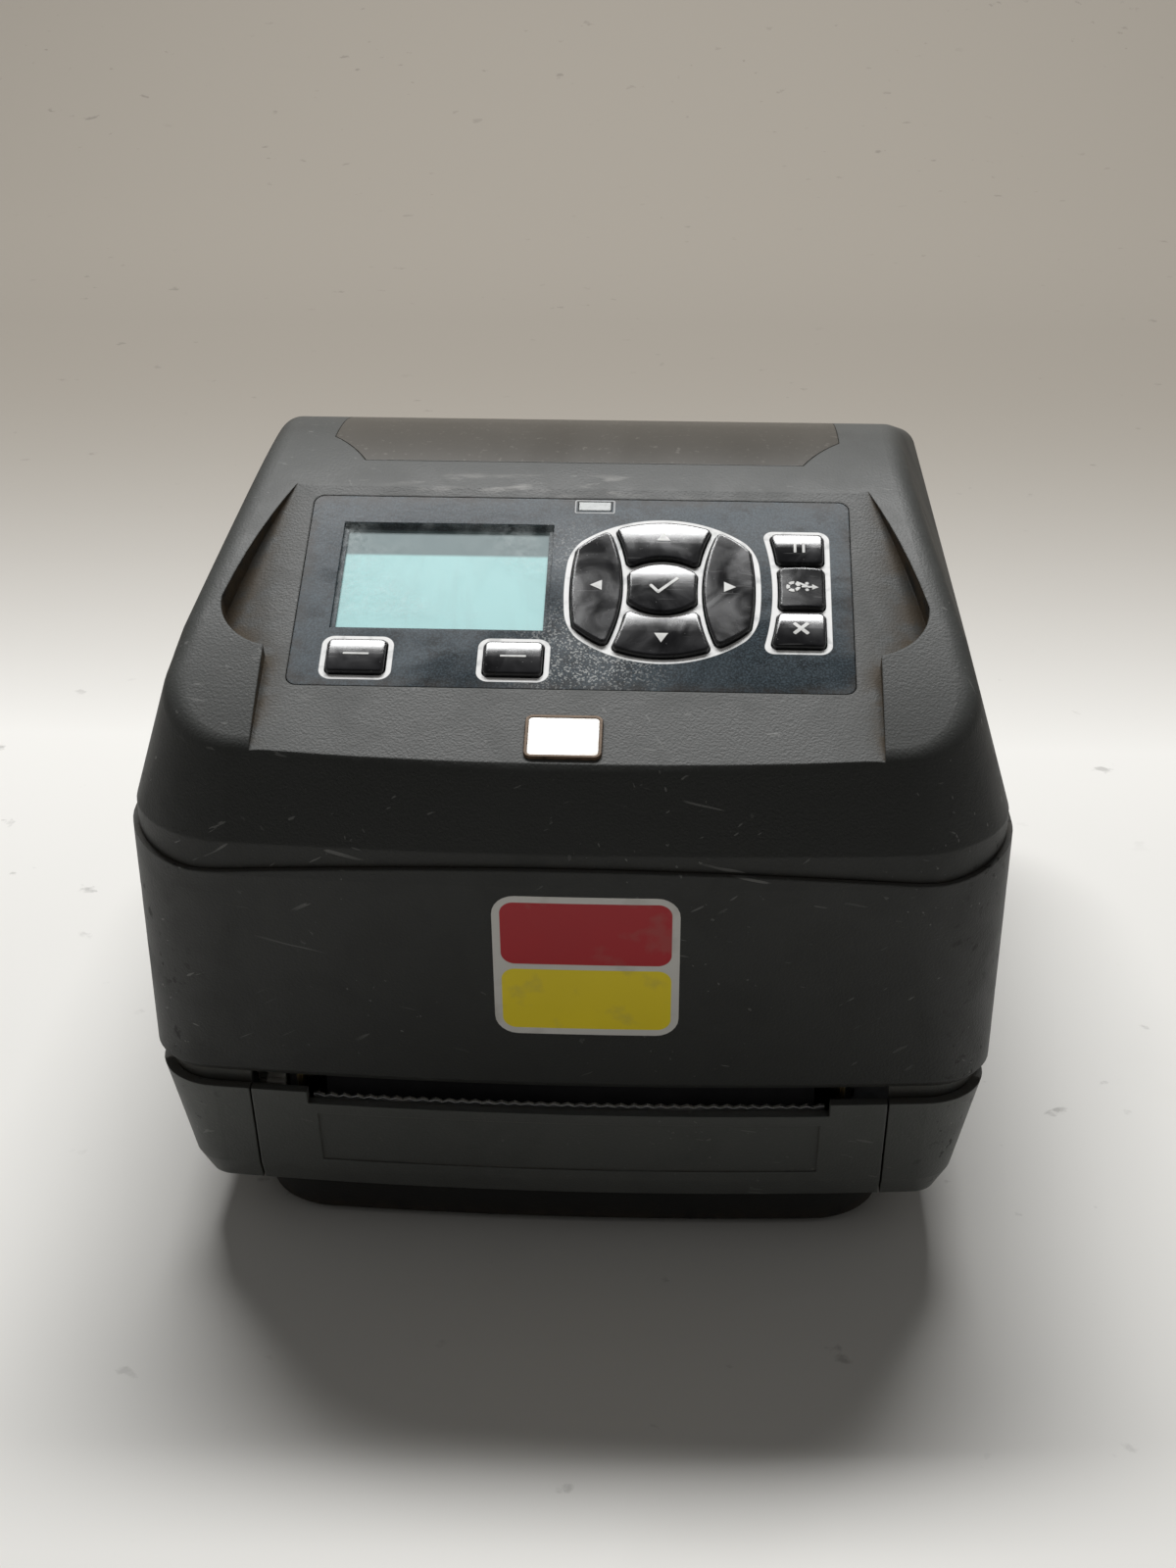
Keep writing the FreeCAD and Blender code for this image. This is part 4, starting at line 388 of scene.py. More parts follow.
def rectangle(f, x, t, x0, x1, t0, t1, corner):
    """Distance outside a rectangle with rounded corners."""
    across = abs(x - 0.5 * (x0 + x1)) - (0.5 * (x1 - x0) - corner)
    up = abs(t - 0.5 * (t0 + t1)) - (0.5 * (t1 - t0) - corner)
    far, high = across.most(0.0), up.most(0.0)
    return f.math("SQRT", far * far + high * high) - corner


def meet(f, one, other, corner):
    """Distance outside the overlap of two shapes, with the corners between them rounded."""
    one, other = (one + corner).most(0.0), (other + corner).most(0.0)
    return f.math("SQRT", one * one + other * other) - corner


def navigator(f, x, t):
    """Distance outside the barrel round the arrow keys."""
    end_radius, end_offset = 25.96, 5.76
    side_radius, side_offset = 75.2, 55.0
    ends = distance(f, x, t, NAVIGATOR_X, NAVIGATOR_T - end_offset)
    ends = ends.most(distance(f, x, t, NAVIGATOR_X, NAVIGATOR_T + end_offset)) - end_radius
    sides = distance(f, x, t, NAVIGATOR_X - side_offset, NAVIGATOR_T)
    sides = sides.most(distance(f, x, t, NAVIGATOR_X + side_offset, NAVIGATOR_T)) - side_radius
    return meet(f, ends, sides, 0.8)


def column(f, x, t):
    """Distance outside the block of three keys with the hollow left side."""
    hollow_radius, hollow_x, corner = 73.0, 44.9, 1.2
    hollow = hollow_radius - distance(f, x, t, hollow_x - hollow_radius, COLUMN_T)
    return meet(f, hollow, rectangle(f, x, t, *COLUMN, corner), corner)


def printed_lines(f, x, t):
    """1 on the pale print of the panel: key surrounds and the lamp's frame."""
    soft = 0.14
    lines = navigator(f, x, t).below(RING_WIDTH, soft)
    lines = lines.most(column(f, x, t).below(RING_WIDTH, soft))
    for middle in SOFT_KEYS_X:
        sides = (middle - SOFT_KEY_HALF, middle + SOFT_KEY_HALF)
        key = rectangle(f, x, t, *sides, *SOFT_KEY_RISE, 1.2)
        lines = lines.most(key.below(RING_WIDTH, soft))
    lamp = abs(rectangle(f, x, t, *STATUS, 0.3)).below(0.14, 0.1)
    return lines.most(lamp * 0.5)


def panel_film(name, colour, print_colour):
    """Worn blue-black film with pale print, haze, rubs, and painted glints of light beside the
    keys.
    """
    f = Finish(name)
    x, t = panel_places(f)
    haze = f.noise(22.0, 4.0, distortion=0.8)
    streak = f.noise(55.0, 4.0, f.stretched(0.35, 1.0, 1.0), 1.2)
    dirt = f.noise(190.0, 5.0)
    tone = f.mix(haze.above(0.5, 0.45), shade(colour, 0.6), shade(colour, 1.25))
    tone = f.mix(streak.above(0.56, 0.2) * 0.5, tone, shade(colour, 1.9))
    tone = f.mix(dirt.above(0.58, 0.10) * 0.7, tone, shade(colour, 0.3))
    speck = f.noise(2400.0, 3.0)
    tone = f.mix(speck.above(0.56, 0.2) * 0.45, tone, shade(colour, 2.6))
    tone = f.mix(speck.below(0.44, 0.2) * 0.45, tone, shade(colour, 0.25))
    # Grey flecks beside the keys are painted glints of reflected light; the coat is thicker there
    # too.
    glint_patch = (distance(f, x, t, 3.0, 30.0).below(13.0, 16.0)
                .most(distance(f, x, t, -1.0, 62.0).below(6.0, 12.0) * 0.6))
    painted_glint = f.parts(f.cells(2900.0, output="Color"))[0].above(0.80, 0.08)
    tone = f.mix(painted_glint * glint_patch * 0.8, tone, (0.42, 0.43, 0.42))
    grime = rectangle(f, x, t, *FILM, 3.0).above(-1.2, 2.4) * dirt.above(0.45, 0.2)
    tone = f.mix(grime * 0.5, tone, (0.035, 0.027, 0.02))
    lines = printed_lines(f, x, t)
    worn = lines * (1.0 - 0.3 * f.noise(300.0, 4.0).above(0.6, 0.15))
    tone = f.mix(worn, tone, print_colour)
    rough = 0.15 + 0.22 * haze.above(0.55, 0.4) + 0.14 * streak.above(0.55, 0.3) + 0.1 * lines
    dimple = f.noise(900.0, 2.0)
    return f.end({"Base Color": tone, "Roughness": rough.held(), "Specular IOR Level": 0.13,
                  "Coat Weight": 0.05 + 0.3 * glint_patch, "Coat Roughness": 0.22,
                  "Normal": f.bump(dimple, 0.012 * MM, f.rounded(0.3 * MM))})


def key_gloss(name, colour):
    """Domed gloss black keys with finger grease and hairline scratches."""
    f = Finish(name)
    grease = f.noise(95.0, 4.0, distortion=1.0)
    hair = f.noise(900.0, 2.0, f.stretched(0.08, 1.0, 1.0)).above(0.68, 0.03)
    lint = f.noise(1500.0, 2.0).above(0.74, 0.02)
    tone = f.mix(grease.above(0.55, 0.3), colour, shade(colour, 2.2))
    tone = f.mix((hair * 0.25).most(lint * 0.6), tone, (0.2, 0.2, 0.2))
    return f.end({"Base Color": tone, "Roughness": 0.09 + 0.14 * grease.above(0.5, 0.4),
                  "Specular IOR Level": 0.5,
                  "Normal": f.rounded(0.5 * MM)})


def display_glass(name, colour):
    """Clear display lens with finger smears."""
    f = Finish(name)
    smear = f.noise(130.0, 5.0, f.stretched(1.0, 0.45, 0.45), 1.6)
    print_ridges = f.node("ShaderNodeTexWave", {"wave_type": "RINGS"}, {
        "Vector": f.place, "Scale": 520.0, "Distortion": 9.0, "Detail": 2.0})
    patch = f.noise(48.0, 3.0).above(0.56, 0.14)
    veil = (smear.above(0.58, 0.3) * 0.05 + print_ridges * patch * 0.09).held()
    return f.end({"Base Color": colour, "Roughness": 0.08 + 0.3 * patch * smear,
                  "Specular IOR Level": 0.22, "Alpha": 0.015 + veil,
                  "Normal": f.rounded(0.3 * MM)})


def display_face(name, colour, painted_reflection):
    """Pale teal display with a painted grey reflection across its top and a fine dot grid."""
    f = Finish(name)
    x, t = panel_places(f)
    cloud = f.noise(60.0, 4.0)
    tone = f.mix(cloud, shade(colour, 0.9), colour)
    # The grey band across the top is a painted reflection.
    band = t.above(REFLECTION_BAND_T, 0.8)
    tone = f.mix(band, tone, f.mix(cloud.above(0.5, 0.5), shade(painted_reflection, 0.7), painted_reflection))
    dots = f.math("SINE", x * 14.0) * f.math("SINE", t * 14.0)
    tone = f.mix(dots.above(0.3, 0.4) * 0.06, tone, shade(colour, 0.6))
    edge = rectangle(f, x, t, *DISPLAY, 0.4).above(-1.4, 2.2)
    tone = f.mix(edge * 0.35, tone, shade(colour, 0.4))
    return f.end({"Base Color": tone, "Roughness": 0.35 + 0.1 * cloud, "Specular IOR Level": 0.3})


def lamp_lens(name, colour):
    """Frosted status lens, unlit."""
    f = Finish(name)
    frost = f.noise(900.0, 3.0)
    tone = f.mix(frost, shade(colour, 0.8), shade(colour, 1.2))
    return f.end({"Base Color": tone, "Roughness": 0.22 + 0.15 * frost,
                  "Normal": f.bump(frost, 0.02 * MM, f.rounded(0.4 * MM))})


def smoked(name, colour):
    """Smoked window: brown, see-through in part, with wipe marks."""
    f = Finish(name)
    wipe = f.noise(26.0, 4.0, f.stretched(1.0, 0.3, 1.0), 0.8)
    dust = f.noise(800.0, 4.0)
    tone = f.mix(wipe, shade(colour, 0.85), shade(colour, 1.15))
    tone = f.mix(dust.above(0.66, 0.05) * 0.3, tone, (0.3, 0.28, 0.25))
    rim = f.rounded(0.5 * MM)
    tone = f.mix(f.edges(rim) * 0.4, tone, (0.25, 0.23, 0.2))
    return f.end({"Base Color": tone, "Roughness": 0.30 + 0.16 * wipe, "Specular IOR Level": 0.5,
                  "Alpha": 0.80 + 0.12 * wipe, "Normal": f.bump(dust, 0.008 * MM, rim)})


# New pieces

def surface(node):
    """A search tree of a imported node's faces, at rest."""
    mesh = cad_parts[node].data
    return BVHTree.FromPolygons([v.co for v in mesh.vertices], [p.vertices for p in mesh.polygons])


def dropped(bm, node, up, start):
    """Moves each vertex along up, so that what lay on the start plane lies on the node."""
    tree = surface(node)
    clear = 0.05
    for vert in bm.verts:
        hit = tree.ray_cast(vert.co + clear * up, -up)[0]
        if hit is None:
            raise RuntimeError(node + " does not lie under the piece")
        vert.co += up * (hit - start).dot(up)


def uprights(edges):
    """The edges that stand upright on the panel."""
    return [e for e in edges
            if abs((e.verts[0].co - e.verts[1].co).normalized().dot(PANEL_UP)) > 0.99]


def bevelled(bm, geom, offset, segments, affect="EDGES"):
    bmesh.ops.bevel(bm, geom=list(geom), offset=offset, segments=segments, profile=0.5,
                    affect=affect, material=-1)


def bar(bm, length, width, height, x, t, turn=0.0, sunk=0.0):
    """A low bar with rounded ends, lying on a key top or sunk a little in it."""
    place = (PANEL @ Matrix.Translation((x, t, 0.5 * height - sunk))
             @ Matrix.Rotation(turn, 4, "Z") @ Matrix.Diagonal((length, width, height, 1.0)))
    made = bmesh.ops.create_cube(bm, size=1.0, matrix=place)
    bevelled(bm, uprights({e for v in made["verts"] for e in v.link_edges}), 0.3 * width, 3)


def disc(bm, radius, height, x, t, segments=24, turn=0.0, sunk=0.0):
    """A low round or three-sided slab, lying on a key top or sunk a little in it."""
    place = PANEL @ Matrix.Translation((x, t, -sunk)) @ Matrix.Rotation(turn, 4, "Z")
    made = bmesh.ops.create_circle(bm, cap_ends=True, radius=radius, segments=segments,
                                   matrix=place)
    face = made["verts"][0].link_faces[0]
    raised = bmesh.ops.extrude_face_region(bm, geom=[face])
    bmesh.ops.translate(bm, vec=PANEL_UP * height,
                        verts=[v for v in raised["geom"] if isinstance(v, bmesh.types.BMVert)])


def hoop(bm, inner, outer, height, x, t, gaps):
    """A low ring of arcs: a strip spun in equal runs with gaps between them."""
    gap = 0.24
    place = PANEL @ Matrix.Translation((x, t, 0.0))
    step = 2.0 * math.pi / gaps
    for i in range(gaps):
        turn = place @ Matrix.Rotation((i + 0.5 * gap) * step, 4, "Z")
        corners = [(inner, 0, 0), (outer, 0, 0), (outer, 0, height), (inner, 0, height)]
        verts = [bm.verts.new(turn @ Vector(c)) for c in corners]
        face = bm.faces.new(verts)
        bmesh.ops.spin(bm, geom=[face], cent=place.translation, axis=PANEL_UP,
                       angle=(1.0 - gap) * step, steps=6)


def finish_piece(name, bm, materials, body):
    """Makes the mesh an object at the origin that rides on a body."""
    bmesh.ops.remove_doubles(bm, verts=bm.verts, dist=1e-7)
    bmesh.ops.recalc_face_normals(bm, faces=bm.faces)
    mesh = bpy.data.meshes.new(name)
    bm.to_mesh(mesh)
    bm.free()
    for material in materials:
        mesh.materials.append(material)
    piece = bpy.data.objects.new(name, mesh)
    bpy.context.scene.collection.objects.link(piece)
    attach(piece, body)
    return piece


def sliced(bm, middle, along, pitch, count):
    """Cuts a flat piece across at an even pitch, so that it can bend over a curved face."""
    for step in range(-count, count + 1):
        bmesh.ops.bisect_plane(bm, geom=[*bm.verts, *bm.edges, *bm.faces], dist=1e-6,
                               plane_co=middle + along * (pitch * step), plane_no=along)


def print_ink(name, colour):
    """Pale printed symbols, a little rubbed."""
    f = Finish(name)
    rub = f.noise(420.0, 4.0)
    tone = f.mix(rub.above(0.58, 0.2) * 0.5, colour, shade(colour, 0.55))
    return f.end({"Base Color": tone, "Roughness": 0.32 + 0.2 * rub})


def arrow(bm, x, t, degrees):
    disc(bm, 1.75 * MM, SYMBOL_HEIGHT, x, t, 3, math.radians(degrees))


def tick(bm, x, t):
    bar(bm, 3.0 * MM, 0.72 * MM, SYMBOL_HEIGHT, x - 1.75 * MM, t - 0.75 * MM, math.radians(-50.0))
    bar(bm, 6.4 * MM, 0.72 * MM, SYMBOL_HEIGHT, x + 1.15 * MM, t + 0.30 * MM, math.radians(45.0))


def cross(bm, x, t):
    for turn, sunk in ((45.0, 0.0), (-45.0, 0.03 * MM)):
        bar(bm, 4.4 * MM, 0.85 * MM, SYMBOL_HEIGHT, x, t, math.radians(turn), sunk)


def pause(bm, x, t):
    for side in (-1.0, 1.0):
        bar(bm, 3.2 * MM, 0.6 * MM, SYMBOL_HEIGHT, x + side * 0.95 * MM, t, math.radians(90.0))


def feed(bm, x, t):
    hoop(bm, 0.75 * MM, 1.55 * MM, SYMBOL_HEIGHT, x - 1.9 * MM, t, 5)
    bar(bm, 3.4 * MM, 0.5 * MM, SYMBOL_HEIGHT, x + 0.3 * MM, t + 0.55 * MM, math.radians(-28.0))
    bar(bm, 2.6 * MM, 0.5 * MM, SYMBOL_HEIGHT, x + 1.2 * MM, t, 0.0, 0.02 * MM)
    disc(bm, 0.95 * MM, SYMBOL_HEIGHT, x + 2.7 * MM, t, 3, math.radians(-90.0), 0.03 * MM)
    for side in (-1.0, 1.0):
        disc(bm, 0.42 * MM, SYMBOL_HEIGHT, x + 1.1 * MM, t + side * 0.95 * MM, 12, 0.0, 0.01 * MM)


def dash(bm, x, t):
    bar(bm, 5.6 * MM, 0.5 * MM, SYMBOL_HEIGHT, x, t, 0.0)


def badge_plate(bm, sizes):
    """A bare plate with round corners and a raised rim, on the lid in front of the panel."""
    place = (PANEL @ Matrix.Translation((sizes.badge_x, sizes.badge_t, 0.5 * sizes.badge_height))
             @ Matrix.Diagonal((sizes.badge_width, sizes.badge_depth, sizes.badge_height, 1.0)))
    bmesh.ops.create_cube(bm, size=1.0, matrix=place)
    bevelled(bm, uprights(bm.edges), BADGE_CORNER, 6)
    bm.normal_update()
    top = max(bm.faces, key=lambda face: face.calc_center_median().dot(PANEL_UP))
    bevelled(bm, top.edges, 0.22 * MM, 3)
    bm.normal_update()
    top = max(bm.faces, key=lambda face: face.calc_area() * (face.normal.dot(PANEL_UP) > 0.99))
    bmesh.ops.inset_region(bm, faces=[top], thickness=0.45 * MM, depth=0.0)
    bmesh.ops.inset_region(bm, faces=[top], thickness=0.12 * MM, depth=-0.12 * MM)
    top.material_index = 1


def sticker_sheet(bm, sizes):
    """A thin sheet with round corners that lies on the curved front of the shell."""
    forward = Vector((0.0, -1.0, 0.0))
    start = Vector((sizes.sticker_x, 0.0, sizes.sticker_z))
    place = (Matrix.Translation(start) @ Matrix.Rotation(math.radians(90.0), 4, "X")
             @ Matrix.Diagonal((sizes.sticker_width, sizes.sticker_height, 1.0, 1.0)))
    bmesh.ops.create_grid(bm, x_segments=1, y_segments=1, size=0.5, matrix=place)
    bevelled(bm, bm.verts, STICKER_CORNER, 6, "VERTICES")
    for axis, span in (((1.0, 0.0, 0.0), sizes.sticker_width),
                       ((0.0, 0.0, 1.0), sizes.sticker_height)):
        sliced(bm, start, Vector(axis), span / (2 * STICKER_CUTS + 1), STICKER_CUTS)
    clear = 0.2 * forward
    bmesh.ops.translate(bm, vec=clear, verts=bm.verts)
    dropped(bm, "upper_shell", forward, clear)
    raised = bmesh.ops.extrude_face_region(bm, geom=list(bm.faces))["geom"]
    bmesh.ops.translate(bm, vec=forward * sizes.sticker_thickness,
                        verts=[v for v in raised if isinstance(v, bmesh.types.BMVert)])


def badge_metal(name, colour):
    """Brushed bright metal, tarnished brown at its rim."""
    f = Finish(name)
    brush = f.noise(2200.0, 2.0, f.stretched(0.04, 1.0, 1.0))
    stain = f.crease(2.0 * MM).above(0.1, 0.3) * f.noise(600.0, 4.0).above(0.4, 0.3)
    tone = f.mix(brush, shade(colour, 0.78), shade(colour, 0.42))
    tone = f.mix(stain * 0.7, tone, (0.16, 0.09, 0.045))
    return f.end({"Base Color": tone, "Metallic": 0.85 - 0.6 * stain,
                  "Roughness": 0.34 + 0.14 * brush, "Normal": f.bump(brush, 0.006 * MM)})


def sticker_vinyl(name, sizes):
    """Glossy pale vinyl with two blank colour fields and a few rubs."""
    f = Finish(name)
    margin, gap, corner = 1.7, 0.7, 3.0
    x, z = f.x * METRE, f.z * METRE
    cx, cz = METRE * sizes.sticker_x, METRE * sizes.sticker_z
    half = 0.5 * METRE * sizes.sticker_width - margin
    tall = 0.5 * METRE * sizes.sticker_height - margin
    rub = f.noise(140.0, 5.0)
    upper = rectangle(f, x, z, cx - half, cx + half, cz + gap, cz + tall, corner)
    lower = rectangle(f, x, z, cx - half, cx + half, cz - tall, cz - gap, corner)
    tone = f.mix(upper.below(0.0, 0.12), tuple(sizes.sticker_edge), tuple(sizes.sticker_upper))
    tone = f.mix(lower.below(0.0, 0.12), tone, tuple(sizes.sticker_lower))
    tone = f.mix(rub.above(0.62, 0.12) * 0.18, tone, (0.25, 0.22, 0.18))
    tone = f.mix(f.noise(26.0).above(0.5, 0.5) * 0.12, tone, (0.05, 0.03, 0.02))
    return f.end({"Base Color": tone, "Roughness": 0.26 + 0.2 * rub, "Specular IOR Level": 0.32})


def block(bm, size, at, turn=0.0):
    """A plain block in millimetres, turned about the X axis."""
    place = (Matrix.Translation(Vector(at) * MM) @ Matrix.Rotation(turn, 4, "X")
             @ Matrix.Diagonal((*(side * MM for side in size), 1.0)))
    bmesh.ops.create_cube(bm, size=1.0, matrix=place)


def rearness(face):
    return face.calc_center_median().y


def pin(bm, radius, length, x, y, z, segments=12):
    """A pin or stud with a chamfered end that points to the rear; gives its end face."""
    place = (Matrix.Translation(Vector((x, y + 0.5 * length, z)) * MM)
             @ Matrix.Rotation(math.radians(-90.0), 4, "X"))
    made = bmesh.ops.create_cone(bm, cap_ends=True, segments=segments, radius1=radius * MM,
                                 radius2=radius * MM, depth=length * MM, matrix=place)["verts"]
    end = max({face for v in made for face in v.link_faces}, key=rearness)
    bevelled(bm, end.edges, 0.3 * radius * MM, 2)
    near = [face for face in bm.faces
            if (face.calc_center_median() - place.translation).length < length * MM]
    return max(near, key=rearness)


def contacts(bm):
    """Gold pins of the serial socket, and the springs of the network and square data sockets."""
    for count, z in ((5, 25.5), (4, 22.3)):
        for i in range(count):
            pin(bm, 0.5, 4.4, SERIAL_X + 2.4 * (i - 0.5 * (count - 1)), SOCKET_Y - 5.2, z)
    for i in range(8):
        at = (NETWORK_X + 1.02 * (i - 3.5), SOCKET_Y - 5.8, NETWORK_Z + 1.95)
        block(bm, (0.45, 7.0, 0.25), at, math.radians(12.0))
    for side in (-1.0, 1.0):
        for face in (-1.0, 1.0):
            at = (USB_X + 1.15 * side, SOCKET_Y - 5.4, USB_Z + 1.32 * face)
            block(bm, (0.9, 6.0, 0.16), at)


def inserts(bm):
    """Dark blocks that carry the contacts."""
    block(bm, (11.4, 0.4, 7.1), (SERIAL_X, SOCKET_Y - 4.85, SERIAL_Z))
    block(bm, (12.3, 1.2, 8.0), (NETWORK_X, SOCKET_Y - 9.35, NETWORK_Z))
    block(bm, (10.4, 3.6, 0.9), (NETWORK_X, SOCKET_Y - 2.6, NETWORK_Z + 3.57))
    block(bm, (8.3, 0.9, 7.3), (USB_X, SOCKET_Y - 9.5, USB_Z))
    block(bm, (4.6, 8.0, 2.6), (USB_X, SOCKET_Y - 5.6, USB_Z))


def studs(bm):
    """Two hollow six-sided studs beside the serial socket."""
    for side in (-1.0, 1.0):
        end = pin(bm, 2.5, 1.9, SERIAL_X + 12.1 * side, SOCKET_Y - 0.1, SERIAL_Z, 6)
        bmesh.ops.inset_region(bm, faces=[end], thickness=0.5 * MM, depth=0.0)
        bmesh.ops.inset_region(bm, faces=[end], thickness=0.05 * MM, depth=-1.2 * MM)


def switch_marks(bm):
    """A stroke and a ring, the plain marks for on and off, on the rocker."""
    offset, inner, outer, height = 4.4, 1.2, 1.75, 0.1
    block(bm, (0.6, height, 3.4), (SWITCH_X, SOCKET_Y + 0.5 * height, SWITCH_Z + offset))
    middle = Vector((SWITCH_X, SOCKET_Y, SWITCH_Z - offset)) * MM
    corners = ((inner, 0.0), (outer, 0.0), (outer, height), (inner, height))
    verts = [bm.verts.new(middle + Vector((r, y, 0.0)) * MM) for r, y in corners]
    edges = [bm.edges.new((verts[i], verts[i - 1])) for i in range(4)]
    bmesh.ops.spin(bm, geom=verts + edges, cent=middle, axis=(0.0, 1.0, 0.0), angle=2.0 * math.pi,
                   steps=28, use_merge=True)
    dropped(bm, "power_switch", Vector((0.0, 1.0, 0.0)), Vector((0.0, SOCKET_Y * MM, 0.0)))


KEY_SYMBOLS = {
    "key_up": (arrow, NAVIGATOR_X, 65.3, 0.0),
    "key_down": (arrow, NAVIGATOR_X, 35.6, 180.0),
    "key_left": (arrow, 5.0, NAVIGATOR_T, 90.0),
    "key_right": (arrow, 33.6, NAVIGATOR_T, -90.0),
    "key_select": (tick, NAVIGATOR_X, NAVIGATOR_T),
    "key_soft_left": (dash, SOFT_KEYS_X[0], SOFT_KEYS_T),
    "key_soft_right": (dash, SOFT_KEYS_X[1], SOFT_KEYS_T),
    "key_pause": (pause, COLUMN_X, 63.0),
    "key_feed": (feed, COLUMN_X + 0.4, 51.0),
    "key_cancel": (cross, COLUMN_X, 38.6),
}


# Properties

def length(name, description, size):
    return bpy.props.FloatProperty(name=name, description=description, unit="LENGTH",
                                   default=size * MM, precision=5)


def colour(name, description, value):
    return bpy.props.FloatVectorProperty(name=name, description=description, subtype="COLOR",
                                         default=value, min=0.0, max=1.0)


def strength(name, description, value):
    return bpy.props.FloatProperty(name=name, description=description, default=value,
                                   min=0.0, max=2.0)


class CaseLooks(bpy.types.PropertyGroup):
    """Colours of the mouldings."""

    # The base and bezel are the same charcoal plastic as the lid; their lighter colour is painted
    # light, the floor's bounce on the lower front.
    case: colour("Housing", "Charcoal of the base and its bezel", (0.080, 0.083, 0.078))
    lid: colour("Lid", "Charcoal of the lid: shell and top cover", (0.022, 0.023, 0.0215))
    pan: colour("Pan", "Black of the plinth", (0.016, 0.016, 0.0155))
    inside: colour("Inside", "Black of the deck and ribbon frame", (0.036, 0.0365, 0.037))
    guide: colour("Roll holders", "Colour of the roll holders", (0.10, 0.32, 0.30))
    window: colour("Window", "Smoke brown of the media window", (0.085, 0.078, 0.066))
    grain: length("Grain", "Pitch of the moulded texture", 0.55)


class PanelLooks(bpy.types.PropertyGroup):
    """Colours of the control panel."""

    film: colour("Film", "Blue-black of the panel film", (0.036, 0.050, 0.060))
    print: colour("Print", "Pale print round the keys", (0.97, 0.97, 0.96))
    symbols: colour("Symbols", "Grey of the symbols on the keys", (0.62, 0.62, 0.60))
    keys: colour("Keys", "Gloss black of the keys", (0.010, 0.010, 0.011))
    display: colour("Display", "Pale teal of the display", (0.52, 0.95, 0.95))
    # The display's grey band is a painted reflection.
    painted_reflection: colour("Idle band", "Grey of the display's idle band", (0.045, 0.062, 0.076))


class TrimLooks(bpy.types.PropertyGroup):
    """Sizes and colours of the badge and the sticker."""

    badge_x: length("Badge x", "Place of the badge across the lid", -0.6)
    badge_t: length("Badge t", "Place of the badge up the slope", 7.6)
    badge_width: length("Badge width", "Width of the badge", 16.4)
    badge_depth: length("Badge depth", "Size of the badge up the slope", 11.6)
    badge_height: length("Badge height", "Thickness of the badge", 0.7)
    badge_face: colour("Badge face", "Bright metal of the badge", (0.80, 0.79, 0.76))
    badge_rim: colour("Badge rim", "Dark rim of the badge", (0.10, 0.075, 0.055))
    sticker_x: length("Sticker x", "Place of the sticker across the front", 4.6)
    sticker_z: length("Sticker z", "Height of the sticker's middle", 81.6)
    sticker_width: length("Sticker width", "Width of the sticker", 40.0)
    sticker_height: length("Sticker height", "Height of the sticker", 38.0)
    sticker_thickness: length("Sticker thickness", "Thickness of the vinyl", 0.08)
    sticker_edge: colour("Sticker edge", "Pale edge round the two fields", (0.62, 0.61, 0.58))
    sticker_upper: colour("Sticker upper", "Colour of the upper half", (0.42, 0.016, 0.024))
    sticker_lower: colour("Sticker lower", "Colour of the lower half", (0.83, 0.66, 0.02))


class StageLooks(bpy.types.PropertyGroup):
    """Floor and light of the studio."""

    paper: colour("Paper", "Colour of the floor and backdrop", (0.80, 0.79, 0.76))
    # The backdrop colour is painted shade on the same pale paper.
    backdrop: colour("Backdrop", "Colour of the paper behind the printer", (0.29, 0.265, 0.23))
    key_power: bpy.props.FloatProperty(
        name="Key light", description="Power of the soft light above and behind", unit="POWER",
        default=40.0, min=0.0, max=500.0)
    fill: strength("Fill", "Strength of the even light from the sides", 0.30)
    fill_front: strength("Front fill", "Strength of the even light from front and back", 0.03)


# Steps

def dress(finishes):
    """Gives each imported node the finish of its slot."""
    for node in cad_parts.values():
        for used in node.material_slots:
            slot = used.material.name.split(".")[0]
            if slot in finishes:
                used.material = finishes[slot]


class PRINTER_OT_case(bpy.types.Operator):
    """Finish the case, lid, plinth and the mouldings inside"""

    bl_idname = "printer.case"
    bl_label = "Housing mouldings"

    def execute(self, context):
        looks = context.scene.printer_case
        grain = looks.grain
        dress({
            # The housing's lighter charcoal is painted floor bounce on the lid's plastic.
            "case_plastic": moulding("Housing moulding", looks.case, 0.48, grain, dust_and_sheen_share=0.5,
                                     marks=case_marks),
            "lid_plastic": moulding("Lid moulding", looks.lid, 0.50, grain, dust_and_sheen_share=0.74,
                                    marks=lid_marks),
            "latch_plastic": moulding("Latch moulding", shade(looks.case, 0.9), 0.46, grain),
            "pan_plastic": moulding("Plinth moulding", looks.pan, 0.6, 0.6 * MM, dust=0.7),
            "inner_plastic": moulding("Inner moulding", looks.inside, 0.44, 0.3 * MM, dust=0.35),
            "guide_plastic": moulding("Roll holder moulding", looks.guide, 0.42, 0.3 * MM,
                                      0.015 * MM, wear=0.2),
            "socket_plastic": moulding("Socket moulding", (0.016, 0.016, 0.017), 0.4, 0.25 * MM,
                                       0.012 * MM, 0.25 * MM, wear=0.2),
            "switch_plastic": moulding("Switch moulding", (0.012, 0.012, 0.013), 0.22, 0.5 * MM,
                                       0.004 * MM, 0.5 * MM, wear=0.15),
            "window_smoke": smoked("Smoked window", looks.window),
        })
        return {"FINISHED"}


